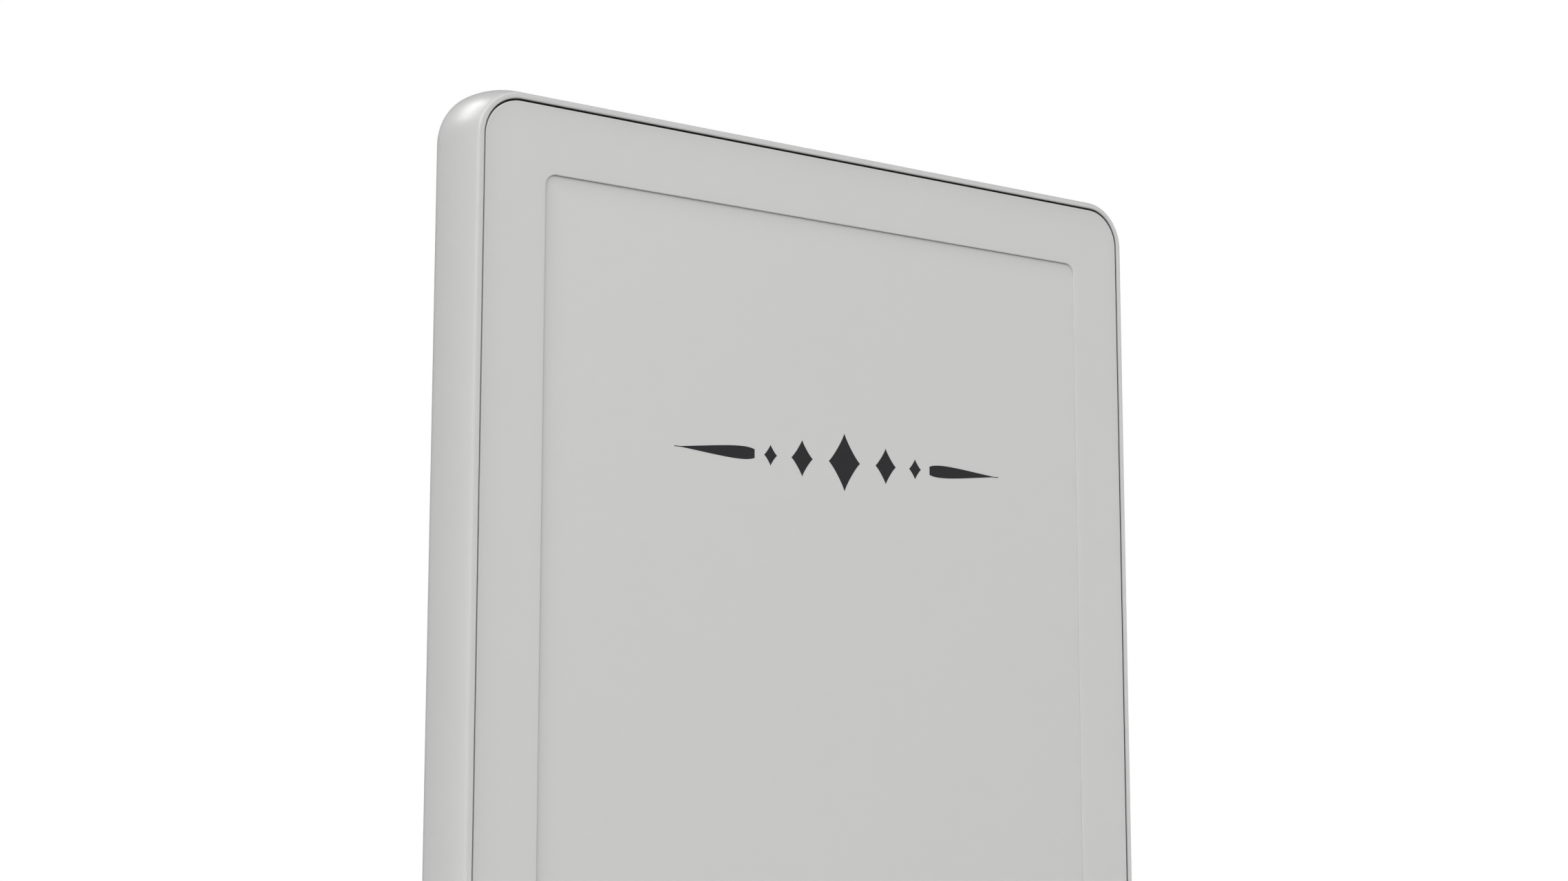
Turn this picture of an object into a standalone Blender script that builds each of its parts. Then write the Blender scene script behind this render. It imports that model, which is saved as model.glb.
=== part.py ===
"""A pocket e-paper reader, standing upright with its screen facing -Y.

X runs across the width, Y through the thickness and Z up the height. The flat back lies on
Y = 0, and the origin is the centre of the magnet ring behind it. Most places are given as a
depth behind the front face. Lengths are in metres.
"""

import math

import bmesh
import bpy
from mathutils import Matrix, Vector

MM = 0.001

# Overall size
BODY_WIDTH = 69.0 * MM
BODY_HEIGHT = 114.0 * MM
BODY_DEPTH = 5.9 * MM

# Outer edge of the casing, seen in section: a thin lip round the front panel, a bulging side
# and a rounded back. Reach is measured outwards from the front panel's edge.
EDGE_REACH = 1.5 * MM
LIP_FLAT = 0.46 * MM
LIP_FILLET = 0.25 * MM
WIDEST_DEPTH = 4.4 * MM
BACK_ROUNDING = 1.43 * MM
SIDE_LEAN = math.radians(21.5)
CORNER_STEPS = 9
FILLET_STEPS = 2
SIDE_STEPS = 4
BACK_STEPS = 4

# Front panel and its window
PANEL_WIDTH = BODY_WIDTH - 2 * EDGE_REACH
PANEL_HEIGHT = BODY_HEIGHT - 2 * EDGE_REACH
PANEL_CORNER = 3.1 * MM
PANEL_THICKNESS = 0.9 * MM
PANEL_CHAMFER = 0.1 * MM
PANEL_GAP = 0.1 * MM
WINDOW_WIDTH = 55.4 * MM
WINDOW_HEIGHT = 92.4 * MM
WINDOW_TOP_MARGIN = 5.3 * MM
WINDOW_CORNER = 0.95 * MM
WINDOW_RIM = 0.40 * MM
WINDOW_CHAMFER = 0.08 * MM

# Inside of the casing
LEDGE_DEPTH = 1.0 * MM
CAVITY_WIDTH = 63.2 * MM
CAVITY_HEIGHT = 108.2 * MM
CAVITY_CORNER = 2.0 * MM
BACK_WALL = 0.75 * MM
WALL_CUT = (-1.0 * MM, 5.0 * MM)

# Tape frame between the front panel and the ledge
ADHESIVE_INSET = 0.2 * MM
ADHESIVE_WIDTH = 1.0 * MM
ADHESIVE_SLACK = 0.02 * MM

# Display stack, by the depth of each layer
FILM_DEPTHS = (0.15 * MM, 0.40 * MM)
DISPLAY_DEPTHS = (0.45 * MM, 1.15 * MM)
FOAM_DEPTHS = (1.20 * MM, 1.45 * MM)
PLATE_DEPTHS = (1.50 * MM, 2.10 * MM)
DISPLAY_SIDE_BORDER = 1.6 * MM
DISPLAY_LOWER_BORDER = 3.8 * MM
FILM_GAP = 0.05 * MM
POCKET_BORDER = 0.7 * MM
POCKET_CORNER = 1.0 * MM
FOAM_INSET = 0.5 * MM
FOAM_CORNER = 0.8 * MM
DISPLAY_CORNER = 0.4 * MM
TAIL_WIDTH = 10.0 * MM
TAIL_DEPTHS = (1.00 * MM, 3.34 * MM)
TAIL_BEND = 0.45 * MM
TAIL_BEND_Z = -46.75 * MM
TAIL_END_Z = -41.6 * MM
TAIL_START_GAP = 0.05 * MM

# Inner plate, which carries the display, the board and the cell
PLATE_WIDTH = 60.8 * MM
PLATE_TOP = 53.3 * MM
PLATE_BOTTOM = -46.2 * MM
PLATE_CORNER = 2.0 * MM
PLATE_BOSS_DEPTH = 2.25 * MM
PLATE_BOSS_RADIUS = 1.9 * MM

# Screws: each goes back through the plate into a post that stands on the back wall
SCREW_HEAD_RADIUS = 1.2 * MM
SCREW_HEAD_DEPTHS = (1.53 * MM, 1.93 * MM)
SCREW_SEAT_DEPTH = 1.95 * MM
SCREW_RADIUS = 0.7 * MM
SCREW_END_DEPTH = 4.6 * MM
SCREW_CLEARANCE = 0.1 * MM
SCREW_STEPS = 14
MERGE_DISTANCE = 0.001 * MM
SCREW_RECESS_LENGTH = 1.4 * MM
SCREW_RECESS_WIDTH = 0.32 * MM
SCREW_RECESS_DEPTH = 0.25 * MM
POST_RADIUS = 1.8 * MM
POST_STEPS = 16
POST_HOLE_STEPS = 12
POST_HOLE_END = 4.8 * MM
POST_FOOT_DEPTH = BODY_DEPTH - BACK_WALL / 2
KEY_REST_RADIUS = 1.25 * MM
UPPER_POST_TOP = 2.30 * MM
BOARD_POST_TOP = 3.15 * MM
UPPER_SCREW_Z = 49.5 * MM
LOWER_SCREW_Z = -36.0 * MM
MIDDLE_SCREW_DROP = 2.0 * MM
SCREW_X = 28.0 * MM

# Main board
BOARD_DEPTHS = (2.3 * MM, 3.1 * MM)
BOARD_WIDTH = 61.8 * MM
BOARD_TOP = -29.0 * MM
BOARD_BOTTOM = -53.6 * MM
BOARD_CORNER = 1.5 * MM
PART_SEAT = 3.15 * MM
BOARD_NOTCH_GAP = 0.25 * MM
BOARD_SLOT_WIDTH = 11.2 * MM
BOARD_SLOT_Z = (-47.9 * MM, -46.3 * MM)
BLOCK_EDGE = 0.1 * MM
CHIP_EDGE = 0.05 * MM
CAN_CENTRE = (16.5 * MM, -39.5 * MM)
CAN_SIZE = (14.0 * MM, 12.0 * MM)
CAN_HEIGHT = 1.4 * MM
CAN_SHEET = 0.15 * MM
PROCESSOR_SIDE = 5.0 * MM
PROCESSOR_HEIGHT = 0.85 * MM
CHARGER_CENTRE = (-24.1 * MM, -41.0 * MM)
CHARGER_SIDE = 3.0 * MM
CHARGER_HEIGHT = 0.75 * MM
ANTENNA_CENTRE = (28.7 * MM, -51.2 * MM)
ANTENNA_SIZE = (1.6 * MM, 3.2 * MM)
ANTENNA_HEIGHT = 0.6 * MM
CONNECTOR_WIDTH = 12.4 * MM
CONNECTOR_HEIGHT = 1.0 * MM
CONNECTOR_Z = (-43.3 * MM, -39.9 * MM)
LATCH_DEPTHS = (3.60 * MM, 4.10 * MM)
LATCH_GAP = 0.15 * MM
LATCH_ARM = 0.45 * MM
LATCH_BAR = 0.9 * MM
LATCH_Z = (-44.6 * MM, -41.6 * MM)

# Cell and its leads
CELL_DEPTHS = (2.2 * MM, 4.2 * MM)
CELL_WIDTH = 46.0 * MM
CELL_TOP = 35.0 * MM
CELL_BOTTOM = -22.4 * MM
CELL_TERRACE_BOTTOM = -25.0 * MM
CELL_TERRACE_DEPTHS = (2.6 * MM, 3.9 * MM)
LEAD_RADIUS = 0.35 * MM
LEAD_SPACING = 1.1 * MM
LEAD_STEPS = 8
LEAD_BOW = 0.25 * MM
LEAD_DEPTHS = (3.25 * MM, 3.75 * MM)
LEAD_END_GAP = 0.1 * MM
CELL_EDGE = 0.7 * MM
CELL_TERRACE_INSET = 1.5 * MM
PLUG_X = -21.0 * MM
PLUG_WIDTH = 4.6 * MM
PLUG_HEIGHT = 1.2 * MM
PLUG_Z = (-33.2 * MM, -29.8 * MM)

# Magnet ring and its steel backing
RING_RADII = (23.0 * MM, 27.0 * MM)
RING_DEPTHS = (4.50 * MM, 5.10 * MM)
SHUNT_DEPTHS = (4.30 * MM, 4.45 * MM)
RING_STEPS = 48

# Keys. A rocker tilts about the tip of the rib behind its middle.
KEY_GAP = 0.2 * MM
SIDE_KEY_GAP = 0.15 * MM
KEY_ROUNDING = 0.44
KEY_CORNER_STEPS = 5
KEY_EDGE = 0.2 * MM
KEY_SKIRT = 0.35 * MM
KEY_SKIRT_THICKNESS = 0.3 * MM
KEY_RIB = 1.0 * MM
KEY_RIB_SHARE = 0.8
KEY_FOOT = 1.4 * MM
KEY_FOOT_SHARE = 0.5
KEY_FOOT_DROP = 0.1 * MM
FRONT_SKIRT_DEPTH = 1.25 * MM
FRONT_PIVOT_DEPTH = 2.2 * MM
FRONT_SWITCH_SEAT = 2.25 * MM
FRONT_SWITCH_SIZE = (3.0 * MM, 2.6 * MM)
FRONT_SWITCH_BODY = 0.25 * MM
FRONT_SWITCH_RISE = 0.13 * MM
SIDE_SKIRT_X = 31.35 * MM
PAGE_PIVOT_X = 28.6 * MM
SIDE_SWITCH_X = 28.52 * MM
SIDE_SWITCH_SIZE = (3.0 * MM, 1.7 * MM)
SIDE_SWITCH_BODY = 1.4 * MM
SIDE_SWITCH_RISE = 0.73 * MM
SWITCH_BUTTON_RADIUS = 0.6 * MM
FRONT_KEY_LENGTH = 22.0 * MM
FRONT_KEY_WIDTH = 4.6 * MM
FRONT_KEY_X = (WINDOW_WIDTH - FRONT_KEY_LENGTH) / 2
FRONT_KEY_Z = -50.6 * MM
FRONT_KEY_PROUD = 0.3 * MM
SIDE_KEY_DEPTH = 3.1 * MM
SIDE_KEY_WIDTH = 1.6 * MM
SIDE_KEY_X = 34.85 * MM
PAGE_KEY_LENGTH = 22.0 * MM
PAGE_KEY_Z = 19.0 * MM
POWER_KEY_LENGTH = 8.0 * MM
POWER_KEY_Z = 41.0 * MM
FRONT_SWITCH_REACH = 8.0 * MM
PAGE_SWITCH_REACH = 7.0 * MM

# Side board: a thin flex standing on edge against a steel bracket
FLEX_SHEET = 0.12 * MM
SIDE_FLEX_X = 28.35 * MM
SIDE_FLEX_DEPTHS = ((2.4 * MM, 4.2 * MM), (3.25 * MM, 4.2 * MM))
SIDE_FLEX_Z = (47.0 * MM, -28.5 * MM, -33.0 * MM)
SIDE_PLUG_WIDTH = 2.2 * MM
SIDE_PLUG_HEIGHT = 1.35 * MM
SIDE_PLUG_Z = (-33.5 * MM, -30.2 * MM)
BRACKET_SHEET = 0.35 * MM
BRACKET_X = (24.5 * MM, 28.25 * MM)
BRACKET_DEPTHS = (2.15 * MM, 4.25 * MM)
BRACKET_Z = (4.0 * MM, 46.5 * MM)

# Connectors on the lower edge
USB_DEPTH = 3.1 * MM
USB_WIDTH = 8.94 * MM
USB_HEIGHT = 3.26 * MM
USB_WALL = 0.3 * MM
USB_Z = (-56.6 * MM, -49.65 * MM)
USB_ROUNDING = 0.488
USB_OPENING_GAP = 0.17 * MM
USB_BASE = (7.6 * MM, 2.3 * MM)
USB_BASE_CORNER = 1.1 * MM
USB_BASE_INSET = (0.4 * MM, 1.6 * MM)
USB_TONGUE = (6.6 * MM, 0.7 * MM)
USB_TONGUE_SETBACK = 0.9 * MM
CARD_X = -14.5 * MM
CARD_WIDTH = 11.0 * MM
CARD_DEPTHS = (3.50 * MM, 4.20 * MM)
CARD_Z = (-56.6 * MM, -41.6 * MM)
CARD_GAP = 0.1 * MM
CARD_OPENING_CORNER = 0.3 * MM
CARD_SHOULDER = 6.4 * MM
CARD_NOTCH = 1.3 * MM
SOCKET_WIDTH = 14.0 * MM
SOCKET_END_DEPTH = 4.65 * MM
SOCKET_Z = (-53.3 * MM, -38.8 * MM)
RESET_X = 16.0 * MM
RESET_DEPTH = 3.8 * MM
RESET_RADIUS = 0.45 * MM
RESET_WIDTH = 3.6 * MM
RESET_END_DEPTH = 4.45 * MM
RESET_Z = (-53.2 * MM, -50.6 * MM)
RESET_BORE = 1.3 * MM
RESET_PLUNGER = (0.9 * MM, 0.6 * MM)
PINHOLE_RADIUS = 0.6 * MM

# Colours, roughness and metal of the finishes
WARM_WHITE = ((0.62, 0.61, 0.59), 0.5, 0.0)
KEY_WHITE = ((0.60, 0.59, 0.57), 0.45, 0.0)
CLEAR = ((0.85, 0.86, 0.86), 0.35, 0.0)
PAPER = ((0.66, 0.66, 0.64), 0.9, 0.0)
BLACK = ((0.03, 0.03, 0.03), 0.5, 0.0)
FOAM = ((0.05, 0.05, 0.05), 0.95, 0.0)
BOARD_GREEN = ((0.03, 0.16, 0.08), 0.4, 0.0)
AMBER = ((0.55, 0.28, 0.06), 0.35, 0.0)
STEEL = ((0.55, 0.55, 0.56), 0.3, 1.0)
NICKEL = ((0.70, 0.69, 0.66), 0.25, 1.0)
POUCH = ((0.45, 0.46, 0.48), 0.45, 0.8)
IVORY = ((0.75, 0.70, 0.58), 0.5, 0.0)
RED = ((0.55, 0.03, 0.02), 0.5, 0.0)
CERAMIC = ((0.70, 0.72, 0.74), 0.4, 0.0)

SHARP_ANGLE = math.radians(35)
FRONT = Vector((0, -1, 0))
BACK = Vector((0, 1, 0))
RIGHT = Vector((1, 0, 0))
UP = Vector((0, 0, 1))
DOWN = Vector((0, 0, -1))

WINDOW_TOP = PANEL_HEIGHT / 2 - WINDOW_TOP_MARGIN
WINDOW_Z = WINDOW_TOP - WINDOW_HEIGHT / 2


# ---------------------------------------------------------------- scene and materials


def clear_scene():
    for obj in list(bpy.data.objects):
        bpy.data.objects.remove(obj, do_unlink=True)


def finish_material(name, finish):
    """A Principled material with this finish's colour, roughness and metallic value."""
    colour, roughness, metallic = finish
    material = bpy.data.materials.new(name)
    material.use_nodes = True
    shader = material.node_tree.nodes["Principled BSDF"]
    shader.inputs["Base Color"].default_value = (*colour, 1.0)
    shader.inputs["Roughness"].default_value = roughness
    shader.inputs["Metallic"].default_value = metallic
    return material


# ---------------------------------------------------------------- places


def y_at(depth):
    """Y of the plane that lies this deep behind the front face."""
    return depth - BODY_DEPTH


def facing(outward, along, at):
    """Matrix that takes local Z to outward and local X to along, with its zero at a point."""
    across = outward.cross(along)
    turn = Matrix((along, across, outward)).transposed().to_4x4()
    return Matrix.Translation(at) @ turn


def back_frame(x, depth, z):
    """Local frame for a part that stands on a surface facing the back: X across, Y down."""
    return facing(BACK, RIGHT, Vector((x, y_at(depth), z)))


# ---------------------------------------------------------------- meshes


def rounded_outline(width, height, radius, steps=CORNER_STEPS, centre=(0.0, 0.0)):
    """Points of a rounded rectangle, counter-clockwise."""
    points = []
    for quarter in range(4):
        side_x = 1 if quarter in (0, 3) else -1
        side_y = 1 if quarter < 2 else -1
        corner_x = centre[0] + side_x * (width / 2 - radius)
        corner_y = centre[1] + side_y * (height / 2 - radius)
        for step in range(steps + 1):
            angle = math.pi / 2 * (quarter + step / steps)
            points.append(
                (corner_x + radius * math.cos(angle), corner_y + radius * math.sin(angle))
            )
    return points


def circle_outline(radius, steps):
    """Points of a circle, counter-clockwise."""
    turns = [2 * math.pi * step / steps for step in range(steps)]
    return [(radius * math.cos(turn), radius * math.sin(turn)) for turn in turns]


def key_outline(length, width, grow_length=0.0, grow_width=0.0):
    """A key's long rounded outline, or that of the opening or skirt round it."""
    corner = KEY_ROUNDING * width + min(grow_length, grow_width)
    length += 2 * grow_length
    width += 2 * grow_width
    return rounded_outline(length, width, corner, KEY_CORNER_STEPS)


def usb_outline(growth):
    """The charging socket's flat-sided oval, grown by this much."""
    height = USB_HEIGHT + 2 * growth
    return rounded_outline(USB_WIDTH + 2 * growth, height, USB_ROUNDING * height, 6)


def ring_at(outline, depth):
    """An outline in X and Z, placed this deep behind the front face."""
    return [Vector((x, y_at(depth), z)) for x, z in outline]


def level(outline, height):
    """An outline in local X and Y, at this local height."""
    return [Vector((x, y, height)) for x, y in outline]


def loft(rings, endless=False):
    """A solid skinned through rings of equally many points. Endless joins the last to the first."""
    mesh = bmesh.new()
    rows = [[mesh.verts.new(point) for point in ring] for ring in rings]
    pairs = list(zip(rows, rows[1:]))
    if endless:
        pairs.append((rows[-1], rows[0]))
    else:
        mesh.faces.new(rows[0])
        mesh.faces.new(rows[-1])
    count = len(rows[0])
    for lower, upper in pairs:
        for i in range(count):
            j = (i + 1) % count
            mesh.faces.new((lower[i], lower[j], upper[j], upper[i]))
    bmesh.ops.recalc_face_normals(mesh, faces=mesh.faces)
    return mesh


def prism(outline, low, high):
    """A straight solid on an outline in local X and Y, between two local heights."""
    return loft([level(outline, low), level(outline, high)])


def box(x, y, z):
    """A box between the low and high ends given for each axis."""
    outline = [(x[0], y[0]), (x[1], y[0]), (x[1], y[1]), (x[0], y[1])]
    return prism(outline, z[0], z[1])


def depth_box(x, depth, z):
    """A box in the reader's own axes, its Y range given by two depths."""
    return box(x, (y_at(depth[0]), y_at(depth[1])), z)


def about(middle, size):
    """Low and high ends of a span, from its middle and size."""
    return (middle - size / 2, middle + size / 2)


# ---------------------------------------------------------------- objects


def add_object(name, mesh, finish=None, where=None, pivot=None):
    """Makes an object from a bmesh, moved by a matrix, with its origin on the pivot."""
    data = bpy.data.meshes.new(name)
    if where is not None:
        mesh.transform(where)
    pivot = Vector((0, 0, 0)) if pivot is None else Vector(pivot)
    mesh.transform(Matrix.Translation(-pivot))
    mesh.to_mesh(data)
    mesh.free()
    data.shade_smooth()
    data.set_sharp_from_angle(angle=SHARP_ANGLE)
    obj = bpy.data.objects.new(name, data)
    obj.location = pivot
    bpy.context.scene.collection.objects.link(obj)
    if finish is not None:
        data.materials.append(finish_material(name + "_finish", finish))
    return obj


def add_helper(name, mesh, where=None):
    """A wire-drawn shape that only cuts or fills another object."""
    obj = add_object(name, mesh, where=where)
    obj.hide_render = True
    obj.display_type = "WIRE"
    return obj


def combine(obj, operation, label, mesh, where=None):
    """Adds a Boolean of this shape to an object."""
    modifier = obj.modifiers.new(label, "BOOLEAN")
    modifier.operation = operation
    modifier.solver = "EXACT"
    modifier.object = add_helper(f"{obj.name}_{label}", mesh, where)


def cut(obj, label, mesh, where=None):
    combine(obj, "DIFFERENCE", label, mesh, where)


def fuse(obj, label, mesh, where=None):
    combine(obj, "UNION", label, mesh, where)


def soften(obj, width, steps=2):
    """Rounds an object's sharp edges."""
    modifier = obj.modifiers.new("soft_edges", "BEVEL")
    modifier.width = width
    modifier.segments = steps
    modifier.limit_method = "ANGLE"
    modifier.angle_limit = SHARP_ANGLE


# ---------------------------------------------------------------- casing


def edge_section():
    """The outer edge in section, as (reach, depth) from the lip to the flat back."""
    section = []
    for step in range(FILLET_STEPS + 1):
        angle = math.pi / 2 + (SIDE_LEAN - math.pi / 2) * step / FILLET_STEPS
        reach = LIP_FLAT + LIP_FILLET * math.cos(angle)
        section.append((reach, LIP_FILLET * (1 - math.sin(angle))))
    start_reach, start_depth = section[-1]
    across = EDGE_REACH - start_reach
    down = WIDEST_DEPTH - start_depth
    bulge = (across**2 + down**2) / (2 * across)
    for step in range(1, SIDE_STEPS + 1):
        depth = start_depth + down * step / SIDE_STEPS
        sag = bulge - math.sqrt(bulge**2 - (WIDEST_DEPTH - depth) ** 2)
        section.append((EDGE_REACH - sag, depth))
    for step in range(1, BACK_STEPS + 1):
        angle = math.pi / 2 * step / BACK_STEPS
        reach = EDGE_REACH - BACK_ROUNDING * (1 - math.cos(angle))
        section.append((reach, BODY_DEPTH - BACK_ROUNDING * (1 - math.sin(angle))))
    return section


def panel_outline(reach):
    """The front panel's outline, grown by this reach."""
    return rounded_outline(
        PANEL_WIDTH + 2 * reach, PANEL_HEIGHT + 2 * reach, PANEL_CORNER + reach
    )


def screw_places():
    """Name, X, Z and depth of the post's top for each screw."""
    rows = (("upper", UPPER_SCREW_Z, UPPER_POST_TOP), ("lower", LOWER_SCREW_Z, BOARD_POST_TOP))
    sides = (("left", -SCREW_X, 0.0), ("middle", 0.0, MIDDLE_SCREW_DROP), ("right", SCREW_X, 0.0))
    for row, z, post_top in rows:
        for side, x, rise in sides:
            yield f"{row}_{side}", x, z + rise, post_top


def add_rear_shell():
    cavity = rounded_outline(CAVITY_WIDTH, CAVITY_HEIGHT, CAVITY_CORNER)
    rings = [
        ring_at(cavity, BODY_DEPTH - BACK_WALL),
        ring_at(cavity, LEDGE_DEPTH),
        ring_at(panel_outline(PANEL_GAP), LEDGE_DEPTH),
        ring_at(panel_outline(PANEL_GAP), 0.0),
    ]
    rings += [ring_at(panel_outline(reach), depth) for reach, depth in edge_section()]
    shell = add_object("rear_shell", loft(rings), WARM_WHITE)
    for name, x, z, post_top in screw_places():
        add_post(shell, name, x, z, post_top)
    for side in (-1, 1):
        rest = circle_outline(KEY_REST_RADIUS, POST_HOLE_STEPS)
        where = back_frame(side * (FRONT_KEY_X + FRONT_SWITCH_REACH), 0.0, FRONT_KEY_Z)
        fuse(shell, f"key_rest_{side}", prism(rest, PART_SEAT, POST_FOOT_DEPTH), where)
    cut_side_openings(shell)
    cut_lower_openings(shell)
    return shell


def add_post(shell, name, x, z, post_top):
    """A hollow post for a screw, standing on the back wall."""
    where = back_frame(x, 0.0, z)
    post = prism(circle_outline(POST_RADIUS, POST_STEPS), post_top, POST_FOOT_DEPTH)
    fuse(shell, f"post_{name}", post, where)
    hole = circle_outline(SCREW_RADIUS + SCREW_CLEARANCE, POST_HOLE_STEPS)
    cut(shell, f"hole_{name}", prism(hole, post_top - MM, POST_HOLE_END), where)


def cut_side_openings(shell):
    """Slots in the right wall for the page key and the power key."""
    for label, z, length in (
        ("page_slot", PAGE_KEY_Z, PAGE_KEY_LENGTH),
        ("power_slot", POWER_KEY_Z, POWER_KEY_LENGTH),
    ):
        slot = key_outline(length, SIDE_KEY_WIDTH, KEY_GAP, SIDE_KEY_GAP)
        where = facing(RIGHT, UP, Vector((CAVITY_WIDTH / 2, y_at(SIDE_KEY_DEPTH), z)))
        cut(shell, label, prism(slot, *WALL_CUT), where)


def cut_lower_openings(shell):
    """Openings in the lower wall for the charging socket, the card and the reset pin."""
    low_wall = -CAVITY_HEIGHT / 2
    where = facing(DOWN, RIGHT, Vector((0, y_at(USB_DEPTH), low_wall)))
    cut(shell, "usb_opening", prism(usb_outline(USB_OPENING_GAP), *WALL_CUT), where)
    height = CARD_DEPTHS[1] - CARD_DEPTHS[0] + 4 * CARD_GAP
    opening = rounded_outline(CARD_WIDTH + 4 * CARD_GAP, height, CARD_OPENING_CORNER, 3)
    where = facing(DOWN, RIGHT, Vector((CARD_X, y_at(sum(CARD_DEPTHS) / 2), low_wall)))
    cut(shell, "card_opening", prism(opening, *WALL_CUT), where)
    where = facing(DOWN, RIGHT, Vector((RESET_X, y_at(RESET_DEPTH), low_wall)))
    cut(shell, "reset_pinhole", prism(circle_outline(PINHOLE_RADIUS, POST_STEPS), *WALL_CUT), where)


def window_outline(growth):
    """The window's outline, grown by this much."""
    return rounded_outline(
        WINDOW_WIDTH + 2 * growth,
        WINDOW_HEIGHT + 2 * growth,
        WINDOW_CORNER + growth,
        centre=(0.0, WINDOW_Z),
    )


def add_front_bezel():
    """The front panel: a flat frame with a thin rim round the window and a pocket behind it."""
    low, high = display_span(POCKET_BORDER)
    width = display_width(POCKET_BORDER)
    middle = (low + high) / 2
    pocket = rounded_outline(width, high - low, POCKET_CORNER, centre=(0.0, middle))
    rings = [
        ring_at(panel_outline(-PANEL_CHAMFER), 0.0),
        ring_at(panel_outline(0.0), PANEL_CHAMFER),
        ring_at(panel_outline(0.0), PANEL_THICKNESS),
        ring_at(pocket, PANEL_THICKNESS),
        ring_at(pocket, WINDOW_RIM),
        ring_at(window_outline(0.0), WINDOW_RIM),
        ring_at(window_outline(0.0), WINDOW_CHAMFER),
        ring_at(window_outline(WINDOW_CHAMFER), 0.0),
    ]
    bezel = add_object("front_bezel", loft(rings, endless=True), WARM_WHITE)
    for side, x in (("left", -FRONT_KEY_X), ("right", FRONT_KEY_X)):
        opening = key_outline(FRONT_KEY_LENGTH, FRONT_KEY_WIDTH, KEY_GAP, KEY_GAP)
        where = facing(BACK, RIGHT, Vector((x, y_at(0.0), FRONT_KEY_Z)))
        cut(bezel, f"{side}_key_opening", prism(opening, *WALL_CUT), where)


def add_bezel_adhesive():
    """The thin tape frame that bonds the front panel to the ledge of the casing."""
    outer = panel_outline(-ADHESIVE_INSET)
    inner = panel_outline(-ADHESIVE_INSET - ADHESIVE_WIDTH)
    depths = (PANEL_THICKNESS + ADHESIVE_SLACK, LEDGE_DEPTH - ADHESIVE_SLACK)
    rings = [ring_at(outer, depths[0]), ring_at(outer, depths[1])]
    rings += [ring_at(inner, depths[1]), ring_at(inner, depths[0])]
    add_object("bezel_adhesive", loft(rings, endless=True), BLACK)


# ---------------------------------------------------------------- display


def display_width(growth=0.0):
    return WINDOW_WIDTH + 2 * (DISPLAY_SIDE_BORDER + growth)


def display_span(growth=0.0):
    """Low and high Z of the display, grown by this much."""
    low = WINDOW_TOP - WINDOW_HEIGHT - DISPLAY_LOWER_BORDER
    return (low - growth, WINDOW_TOP + DISPLAY_SIDE_BORDER + growth)


def add_sheet(name, growth, depths, radius, finish):
    """A flat layer of the display stack."""
    low, high = display_span(growth)
    outline = rounded_outline(
        display_width(growth), high - low, radius, 4, centre=(0.0, (low + high) / 2)
    )
    add_object(name, loft([ring_at(outline, depth) for depth in depths]), finish)


def add_screen_film():
    """The sheet that fills the window and lies on the display."""
    outline = window_outline(-FILM_GAP)
    add_object("screen_film", loft([ring_at(outline, depth) for depth in FILM_DEPTHS]), CLEAR)


def add_display():
    add_screen_film()
    add_sheet("epaper_panel", 0.0, DISPLAY_DEPTHS, DISPLAY_CORNER, PAPER)
    add_sheet("display_foam", -FOAM_INSET, FOAM_DEPTHS, FOAM_CORNER, FOAM)


def arc_points(centre, radius, start, end, steps=5):
    """Points on an arc, as (depth, z), between two angles in degrees."""
    angles = [math.radians(start + (end - start) * i / steps) for i in range(steps + 1)]
    return [(centre[0] + radius * math.cos(a), centre[1] + radius * math.sin(a)) for a in angles]


def add_display_flex():
    """The display's tail: down past the inner plate, back through the board and up behind it."""
    start_depth, end_depth = TAIL_DEPTHS
    path = [(start_depth, display_span()[0] - TAIL_START_GAP)]
    path += arc_points((start_depth + TAIL_BEND, TAIL_BEND_Z), TAIL_BEND, 180, 270)
    path += arc_points((end_depth - TAIL_BEND, TAIL_BEND_Z), TAIL_BEND, -90, 0)
    path.append((end_depth, TAIL_END_Z))
    mesh = bmesh.new()
    rows = []
    for side in about(0.0, TAIL_WIDTH):
        rows.append([mesh.verts.new((side, y_at(depth), z)) for depth, z in path])
    for i in range(len(path) - 1):
        mesh.faces.new((rows[0][i], rows[0][i + 1], rows[1][i + 1], rows[1][i]))
    flex = add_object("display_flex", mesh, AMBER)
    sheet = flex.modifiers.new("sheet", "SOLIDIFY")
    sheet.thickness = FLEX_SHEET
    sheet.offset = 0.0
    sheet.use_even_offset = True


# ---------------------------------------------------------------- plate, screws, cell


def add_mid_frame():
    """The inner plate, with a raised seat behind each screw head."""
    middle = (PLATE_TOP + PLATE_BOTTOM) / 2
    height = PLATE_TOP - PLATE_BOTTOM
    outline = rounded_outline(PLATE_WIDTH, height, PLATE_CORNER, 4, centre=(0.0, middle))
    plate = add_object("mid_frame", loft([ring_at(outline, d) for d in PLATE_DEPTHS]), STEEL)
    sink = SCREW_HEAD_RADIUS + SCREW_CLEARANCE
    hole = SCREW_RADIUS + SCREW_CLEARANCE
    for name, x, z, _ in screw_places():
        where = back_frame(x, 0.0, z)
        boss = circle_outline(PLATE_BOSS_RADIUS, POST_STEPS)
        fuse(plate, f"seat_{name}", prism(boss, SCREW_SEAT_DEPTH, PLATE_BOSS_DEPTH), where)
        head = circle_outline(sink, POST_STEPS)
        cut(plate, f"sink_{name}", prism(head, 0.0, SCREW_SEAT_DEPTH), where)
        shank = circle_outline(hole, POST_HOLE_STEPS)
        cut(plate, f"hole_{name}", prism(shank, 0.0, BODY_DEPTH), where)


def cross_outline(length, width):
    """A plus sign's outline."""
    far = length / 2
    near = width / 2
    arm = [(far, -near), (far, near), (near, near)]
    points = []
    for quarter in range(4):
        turn = Matrix.Rotation(math.pi / 2 * quarter, 2)
        points += [tuple(turn @ Vector(point)) for point in arm]
    return points


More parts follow.
